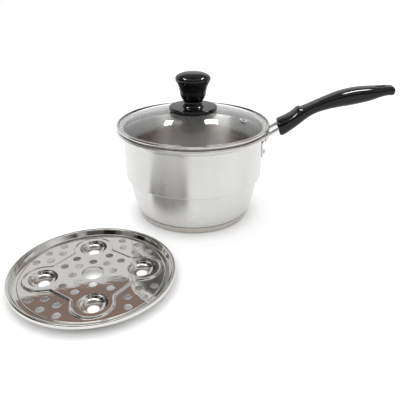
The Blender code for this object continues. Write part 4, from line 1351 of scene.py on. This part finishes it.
def gripBody():
    p = gripSizes
    bm = bmesh.new()
    rings = []
    for along in gripStops():
        section = [(p["front"] + x, y, p["z"] + z) for x, y, z in gripSection(along)]
        rings.append([bm.verts.new(place) for place in section])
    count = len(rings[0])
    for near, far in zip(rings, rings[1:]):
        for i in range(count):
            j = (i + 1) % count
            bm.faces.new((near[i], near[j], far[j], far[i]))
    bm.faces.new(rings[0])
    bm.faces.new(rings[-1])
    bmesh.ops.remove_doubles(bm, verts=bm.verts, dist=0.000001)
    bmesh.ops.recalc_face_normals(bm, faces=bm.faces)
    obj = fromBmesh("gripBody", bm)
    obj.data.materials.append(finishes["bakelite"])
    cutAway(obj, gripCutters())
    settle(obj, "pot", "bakelite", "grip")


def gripCutters():
    # the slot, the bridge's pocket, the screw's hole and seat, and the rods' sockets
    p = gripSizes
    along, up = rodAxes()
    entry = Vector((p["front"], 0, p["z"]))
    tools = [slotCutter()]
    pocketEnd = p["bridgeIn"] + p["bridgeLength"] / 2 + gap
    size = (p["rodApart"], pocketEnd + p["pocketBefore"], p["bridgeH"] + 2 * gap)
    place = placeAlong(entry + along * (pocketEnd - p["pocketBefore"]) / 2, up)
    tools.append(block("pocket", place, size))
    down = placeAlong(entry + along * p["bridgeIn"], -up)
    holeEnd = p["screwDown"] + gap
    seatEnd = p["screwDown"] + p["seatH"]
    tools.append(roundCutter("screwHole", p["screwR"] + gap, 0, holeEnd, 48, down))
    tools.append(roundCutter("screwSeat", p["screwHeadR"] + gap, p["screwDown"], seatEnd, 64, down))
    for side in (-1, 1):
        place = placeAlong(Vector((p["front"], side * p["rodApart"] / 2, p["z"])), along)
        start, stop = -p["socketBefore"], p["rodIn"] + gap
        tools.append(roundCutter("socket", p["rodR"] + gap, start, stop, 48, place))
    return tools


# Steaming plate: a pressed panel, with its holes, cups, collar and lip joined on by a tree
plateSizes = {
    "radius": 0.0903,
    "sheet": 0.0006,
    "apart": 0.0129,  # from the rim to the plate
    "azimuth": -120.0,  # where it lies, in degrees
    "turn": 13.1,
    "z": 0.0065,
    "roll": 0.0020,
    "wallH": 0.0046,
    "hem": 0.0024,  # of the lip, outside
    "wallRun": 0.0024,
    "gutter": 0.0044,
    "ridge": 0.0006,
    "ridgeW": 0.0016,
    "rise": 0.0015,
    "cupRing": 0.0526,
    "cupR": 0.0156,
    "cupHoleR": 0.0062,
    "cupLip": 0.0006,
    "cupDepth": 0.0074,
    "cups": 4,
    "collarR": 0.0123,
    "collarHoleR": 0.0109,
    "collarH": 0.0024,
    "holeR": 0.0042,
    "holeLip": 0.0004,
    "holeDish": 0.0002,
    "innerRing": 0.0216,
    "innerHoles": 8,
    # ring radius, holes in each quarter, degrees between them
    "rows": ((0.0360, 2, 29.0), (0.0590, 2, 17.4), (0.0720, 3, 16.6)),
    "beadWrap": 0.0214,  # round a cup
    "beadLink": 0.0460,  # from the axis to the straight between two cups
    "beadBend": 0.0060,
    "beadHalf": 0.0017,
    "beadH": 0.0022,
    "holeSides": 32,
    "cupSides": 96,
    "rimSides": 256,
}


def flatEdge():
    p = plateSizes
    return p["radius"] - 2 * p["roll"] - p["wallRun"] - p["gutter"] - p["ridgeW"]


def ringPoints(centre, radius, sides):
    points = []
    for k in range(sides):
        a = 2 * math.pi * k / sides
        points.append(Vector((centre[0] + radius * math.cos(a), centre[1] + radius * math.sin(a))))
    return points


def beadLine(out):
    # plan of the bead, moved outwards: a U round each cup, then straight to the next
    p = plateSizes
    sideEnd = p["beadLink"] * math.sqrt(2) - p["beadWrap"]
    bendAt = (sideEnd + p["beadBend"] * math.tan(math.pi / 8), p["beadWrap"] + p["beadBend"])
    wrap = arc((p["cupRing"], 0), p["beadWrap"] + out, -90, 90, 48)
    bend = arc(bendAt, p["beadBend"] - out, 270, 225, 8)
    quarter = [Vector(q) for q in [(x, -y) for x, y in reversed(bend)] + wrap + bend]
    line = []
    for k in range(p["cups"]):
        turn = Matrix.Rotation(2 * math.pi * k / p["cups"], 2)
        line += [turn @ q for q in quarter]
    return line


def beadHeight(t):
    # t runs from -1 inside the bead to 1 outside it
    p = plateSizes
    s = (t + 1) / 2
    floor = p["rise"] * (1 - s * s * (3 - 2 * s))
    return floor + (p["beadH"] - p["rise"] / 2) * math.cos(math.pi * t / 2) ** 2


def holeMiddles():
    p = plateSizes
    polar = [(p["innerRing"], 360 * k / p["innerHoles"]) for k in range(p["innerHoles"])]
    for radius, count, spacing in p["rows"]:
        for k in range(p["cups"]):
            middle = 360 * (k + 0.5) / p["cups"]
            polar += [(radius, middle + (i - (count - 1) / 2) * spacing) for i in range(count)]
    turns = [(r, math.radians(a)) for r, a in polar]
    return [(r, Vector((r * math.cos(a), r * math.sin(a)))) for r, a in turns]


def platePanel():
    # both faces of the flat panel, with its bead, open where the other shapes are joined on
    p = plateSizes
    points, heights, edges, openings = [], [], [], []

    def loop(line, height):
        start = len(points)
        points.extend(line)
        heights.extend([height] * len(line))
        edges.extend((start + i, start + (i + 1) % len(line)) for i in range(len(line)))

    loop(ringPoints((0, 0), flatEdge(), p["rimSides"]), 0.0)
    around = [((0, 0), p["collarR"], p["cupSides"], p["rise"])]
    for k in range(p["cups"]):
        angle = 2 * math.pi * k / p["cups"]
        middle = (p["cupRing"] * math.cos(angle), p["cupRing"] * math.sin(angle))
        around.append((middle, p["cupR"], p["cupSides"], p["rise"]))
    for radius, middle in holeMiddles():
        height = p["rise"] if radius < p["beadLink"] else 0.0
        around.append((middle, p["holeR"] + p["holeLip"], p["holeSides"], height))
    for middle, radius, sides, height in around:
        loop(ringPoints(middle, radius, sides), height)
        openings.append((Vector(middle), radius))
    steps = 12
    for i in range(steps + 1):
        t = 2 * i / steps - 1
        loop(beadLine(p["beadHalf"] * t), beadHeight(t))
    flat, _, faces, origins, _, _ = delaunay_2d_cdt(points, edges, [], 0, 1e-7)
    heightOf = {i: heights[sources[0]] for i, sources in enumerate(origins) if sources}
    bm = bmesh.new()
    top = [bm.verts.new((*v, heightOf[i])) for i, v in enumerate(flat)]
    low = [bm.verts.new((*v, heightOf[i] - p["sheet"])) for i, v in enumerate(flat)]
    for face in faces:
        middle = sum((flat[i] for i in face), Vector((0, 0))) / len(face)
        if all((middle - centre).length > radius for centre, radius in openings):
            bm.faces.new([top[i] for i in face])
            bm.faces.new([low[i] for i in reversed(face)])
    bmesh.ops.delete(bm, geom=[v for v in bm.verts if not v.link_faces], context="VERTS")
    return fromBmesh("steamPlate", bm)


def sheetEdge(name, line, sides):
    # both faces of the sheet along a line that starts at the panel and is closed at its far end
    sheet = plateSizes["sheet"]
    outward = line[-1][0] > line[0][0]
    under = aside(line, -sheet if outward else sheet)
    under[0] = (line[0][0], line[0][1] - sheet)
    outline = under + line[::-1] if outward else line + under[::-1]
    return turned(name, outline, None, sides, None, False)


def rimLine():
    p = plateSizes
    flat = flatEdge()
    gutter = flat + p["ridgeW"]
    wall = gutter + p["gutter"]
    steps = 8
    line = []
    for i in range(steps + 1):
        t = i / steps
        z = p["ridge"] * math.sin(math.pi * t) ** 2 - p["ridge"] / 2 * t * t * (3 - 2 * t)
        line.append((flat + p["ridgeW"] * t, z))
    low = -p["ridge"] / 2
    bend = p["wallRun"] * 0.5
    line += [(gutter + p["gutter"] * t, low) for t in (0.35, 0.7)]
    line += arc((wall - bend, low + bend), bend, -90, -20, 6)
    line += arc((p["radius"] - p["roll"], p["wallH"]), p["roll"], 180, 0, 18)
    line.append((p["radius"], p["wallH"] - p["hem"]))
    return line


def cupLine():
    p = plateSizes
    span = p["cupR"] - p["cupLip"] - p["cupHoleR"]
    line = [(p["cupR"], p["rise"])]
    for degrees in range(6, 91, 6):
        turn = math.radians(degrees)
        depth = p["cupDepth"] * math.sin(turn)
        line.append((p["cupHoleR"] + span * math.cos(turn), p["rise"] - depth))
    return line


def collarLine():
    p = plateSizes
    span = p["collarR"] - p["collarHoleR"]
    line = [(p["collarR"], p["rise"])]
    for degrees in range(10, 91, 10):
        turn = math.radians(degrees)
        drop = span * (1 - math.cos(turn))
        line.append((p["collarR"] - span * math.sin(turn), p["rise"] - drop))
    line.append((p["collarHoleR"], p["rise"] - p["collarH"]))
    return line


def holeLine():
    p = plateSizes
    line = []
    steps = 4
    for i in range(steps + 1):
        t = i / steps
        line.append((p["holeR"] + p["holeLip"] * (1 - t), -p["holeDish"] * t * t))
    return line


def plateTree():
    takes = [
        ("Panel", "Geometry", None),
        ("Hole edge", "Object", None),
        ("Cup", "Object", None),
        ("Collar", "Object", None),
        ("Lip", "Object", None),
        ("Cup ring", "Float", 0.05),
        ("Cups", "Int", 4),
        ("Inner ring", "Float", 0.02),
        ("Inner holes", "Int", 8),
        ("Raised", "Float", 0.0),
        ("Weld", "Float", 0.000005),
        ("Material", "Material", None),
    ]
    for k in range(len(plateSizes["rows"])):
        takes += [
            (f"Row {k} radius", "Float", 0.04),
            (f"Row {k} holes", "Int", 2),
            (f"Row {k} spacing", "Float", 0.4),
        ]
    tree, given, end = newTree("plate", "GeometryNodeTree", takes, ("Mesh", "Geometry"))
    join = put(tree, "GeometryNodeJoinGeometry")
    tree.links.new(given["Panel"], join.inputs[0])

    def shape(title):
        return put(tree, "GeometryNodeObjectInfo", {0: given[title]}).outputs["Geometry"]

    def copies(piece, values):
        inputs = {"Piece": piece, **values}
        group = put(tree, "GeometryNodeGroup", inputs, node_tree=trees["copies"])
        tree.links.new(group.outputs[0], join.inputs[0])

    copies(shape("Cup"), {"Radius": given["Cup ring"], "Groups": given["Cups"]})
    hole = shape("Hole edge")
    values = {"Radius": given["Inner ring"], "Groups": given["Inner holes"]}
    copies(hole, {**values, "Height": given["Raised"]})
    halfWay = calc(tree, "DIVIDE", math.pi, given["Cups"])  # between two cups
    for k, (radius, _, _) in enumerate(plateSizes["rows"]):
        values = {
            "Radius": given[f"Row {k} radius"],
            "Groups": given["Cups"],
            "In each": given[f"Row {k} holes"],
            "Spacing": given[f"Row {k} spacing"],
            "Start": halfWay,
        }
        if radius < plateSizes["beadLink"]:
            values["Height"] = given["Raised"]
        copies(hole, values)
    for title in ("Collar", "Lip"):
        tree.links.new(shape(title), join.inputs[0])
    return finishTree(tree, join.outputs[0], given, end)


def steamPlate():
    p = plateSizes
    parts = {
        "Hole edge": sheetEdge("holeEdge", holeLine(), p["holeSides"]),
        "Cup": sheetEdge("cup", cupLine(), p["cupSides"]),
        "Collar": sheetEdge("collar", collarLine(), p["cupSides"]),
        "Lip": sheetEdge("lip", rimLine(), p["rimSides"]),
    }
    values = {
        **parts,
        "Cup ring": p["cupRing"],
        "Cups": p["cups"],
        "Inner ring": p["innerRing"],
        "Inner holes": p["innerHoles"],
        "Raised": p["rise"],
        "Material": finishes["plate"],
    }
    for k, (radius, count, spacing) in enumerate(p["rows"]):
        values[f"Row {k} radius"] = radius
        values[f"Row {k} holes"] = count
        values[f"Row {k} spacing"] = math.radians(spacing)
    obj = bake(addTree(platePanel(), plateTree(), values))
    for part in parts.values():
        bpy.data.objects.remove(part, do_unlink=True)
    away = potSizes["wallR"] + potSizes["rimOut"] + p["apart"] + p["radius"]
    azimuth = math.radians(p["azimuth"])
    place = Matrix.Translation((away * math.cos(azimuth), away * math.sin(azimuth), p["z"]))
    obj.data.transform(place @ Matrix.Rotation(math.radians(p["turn"]), 4, "Z"))
    soften(obj)
    level = 0.99999  # faces nearer to level than this keep their own shade
    attributes = obj.data.attributes
    flat = attributes.get("sharp_face") or attributes.new("sharp_face", "BOOLEAN", "FACE")
    for face in obj.data.polygons:
        if abs(face.normal.z) > level:
            flat.data[face.index].value = True
    settle(obj, "plate", "polished_steel", "steam_plate")


print("soup pot: camera, floor and light")
addCamera()
addFloor()
addWorld()

print("soup pot: finishes")
trees = {"turning": turningTree(), "copies": copiesTree()}
trees.update(row=rowTree(), rod=rodTree())
groups = {"brushing": brushingGroup(), "handling": handlingGroup()}
finishes = {
    "body": brushedSteel("brushedSteel", steelLook),
    # the base's steel is painted darker and browner, as a painted reflection
    "base": brushedSteel("baseSteelDarkReflection", baseDarkReflectionLook),
    "polished": polishedSteel("polishedSteel", polishedLook),
    # the ring's steel is painted darker, as painted shade
    "ring": polishedSteel("ringSteelShaded", ringShadedLook),
    "plate": polishedSteel("plateSteel", plateLook),
    "rod": polishedSteel("rodSteel", rodLook),
    "glass": clearGlass(),
    "bakelite": bakeliteFinish(),
    "aluminium": plainFinish("aluminium", (0.70, 0.69, 0.68), (0.4, 0.5), 1.0),
    "brass": plainFinish("brass", (0.72, 0.55, 0.28), (0.3, 0.4), 1.0),
    "silicone": plainFinish("silicone", (0.80, 0.80, 0.78), (0.5, 0.6)),
}

print("soup pot: pot body")
potShell()
baseCap()

print("soup pot: lid")
lidGlass()
lidRing()
ventEyelet()
knobAndCollar()
clampParts()

print("soup pot: handle")
bracketPlate()
rivets()
rods()
gripBody()
gripScrew()

print("soup pot: steaming plate")
steamPlate()

print("soup pot: finishes on the pieces kept from the frame")
for node, finish in {"base_core": "aluminium", "tang_bridge": "polished"}.items():
    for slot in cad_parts[node].material_slots:
        slot.material = finishes[finish]

print("soup pot: lamps")
addLamps()

bpy.context.scene.view_settings.view_transform = "Standard"
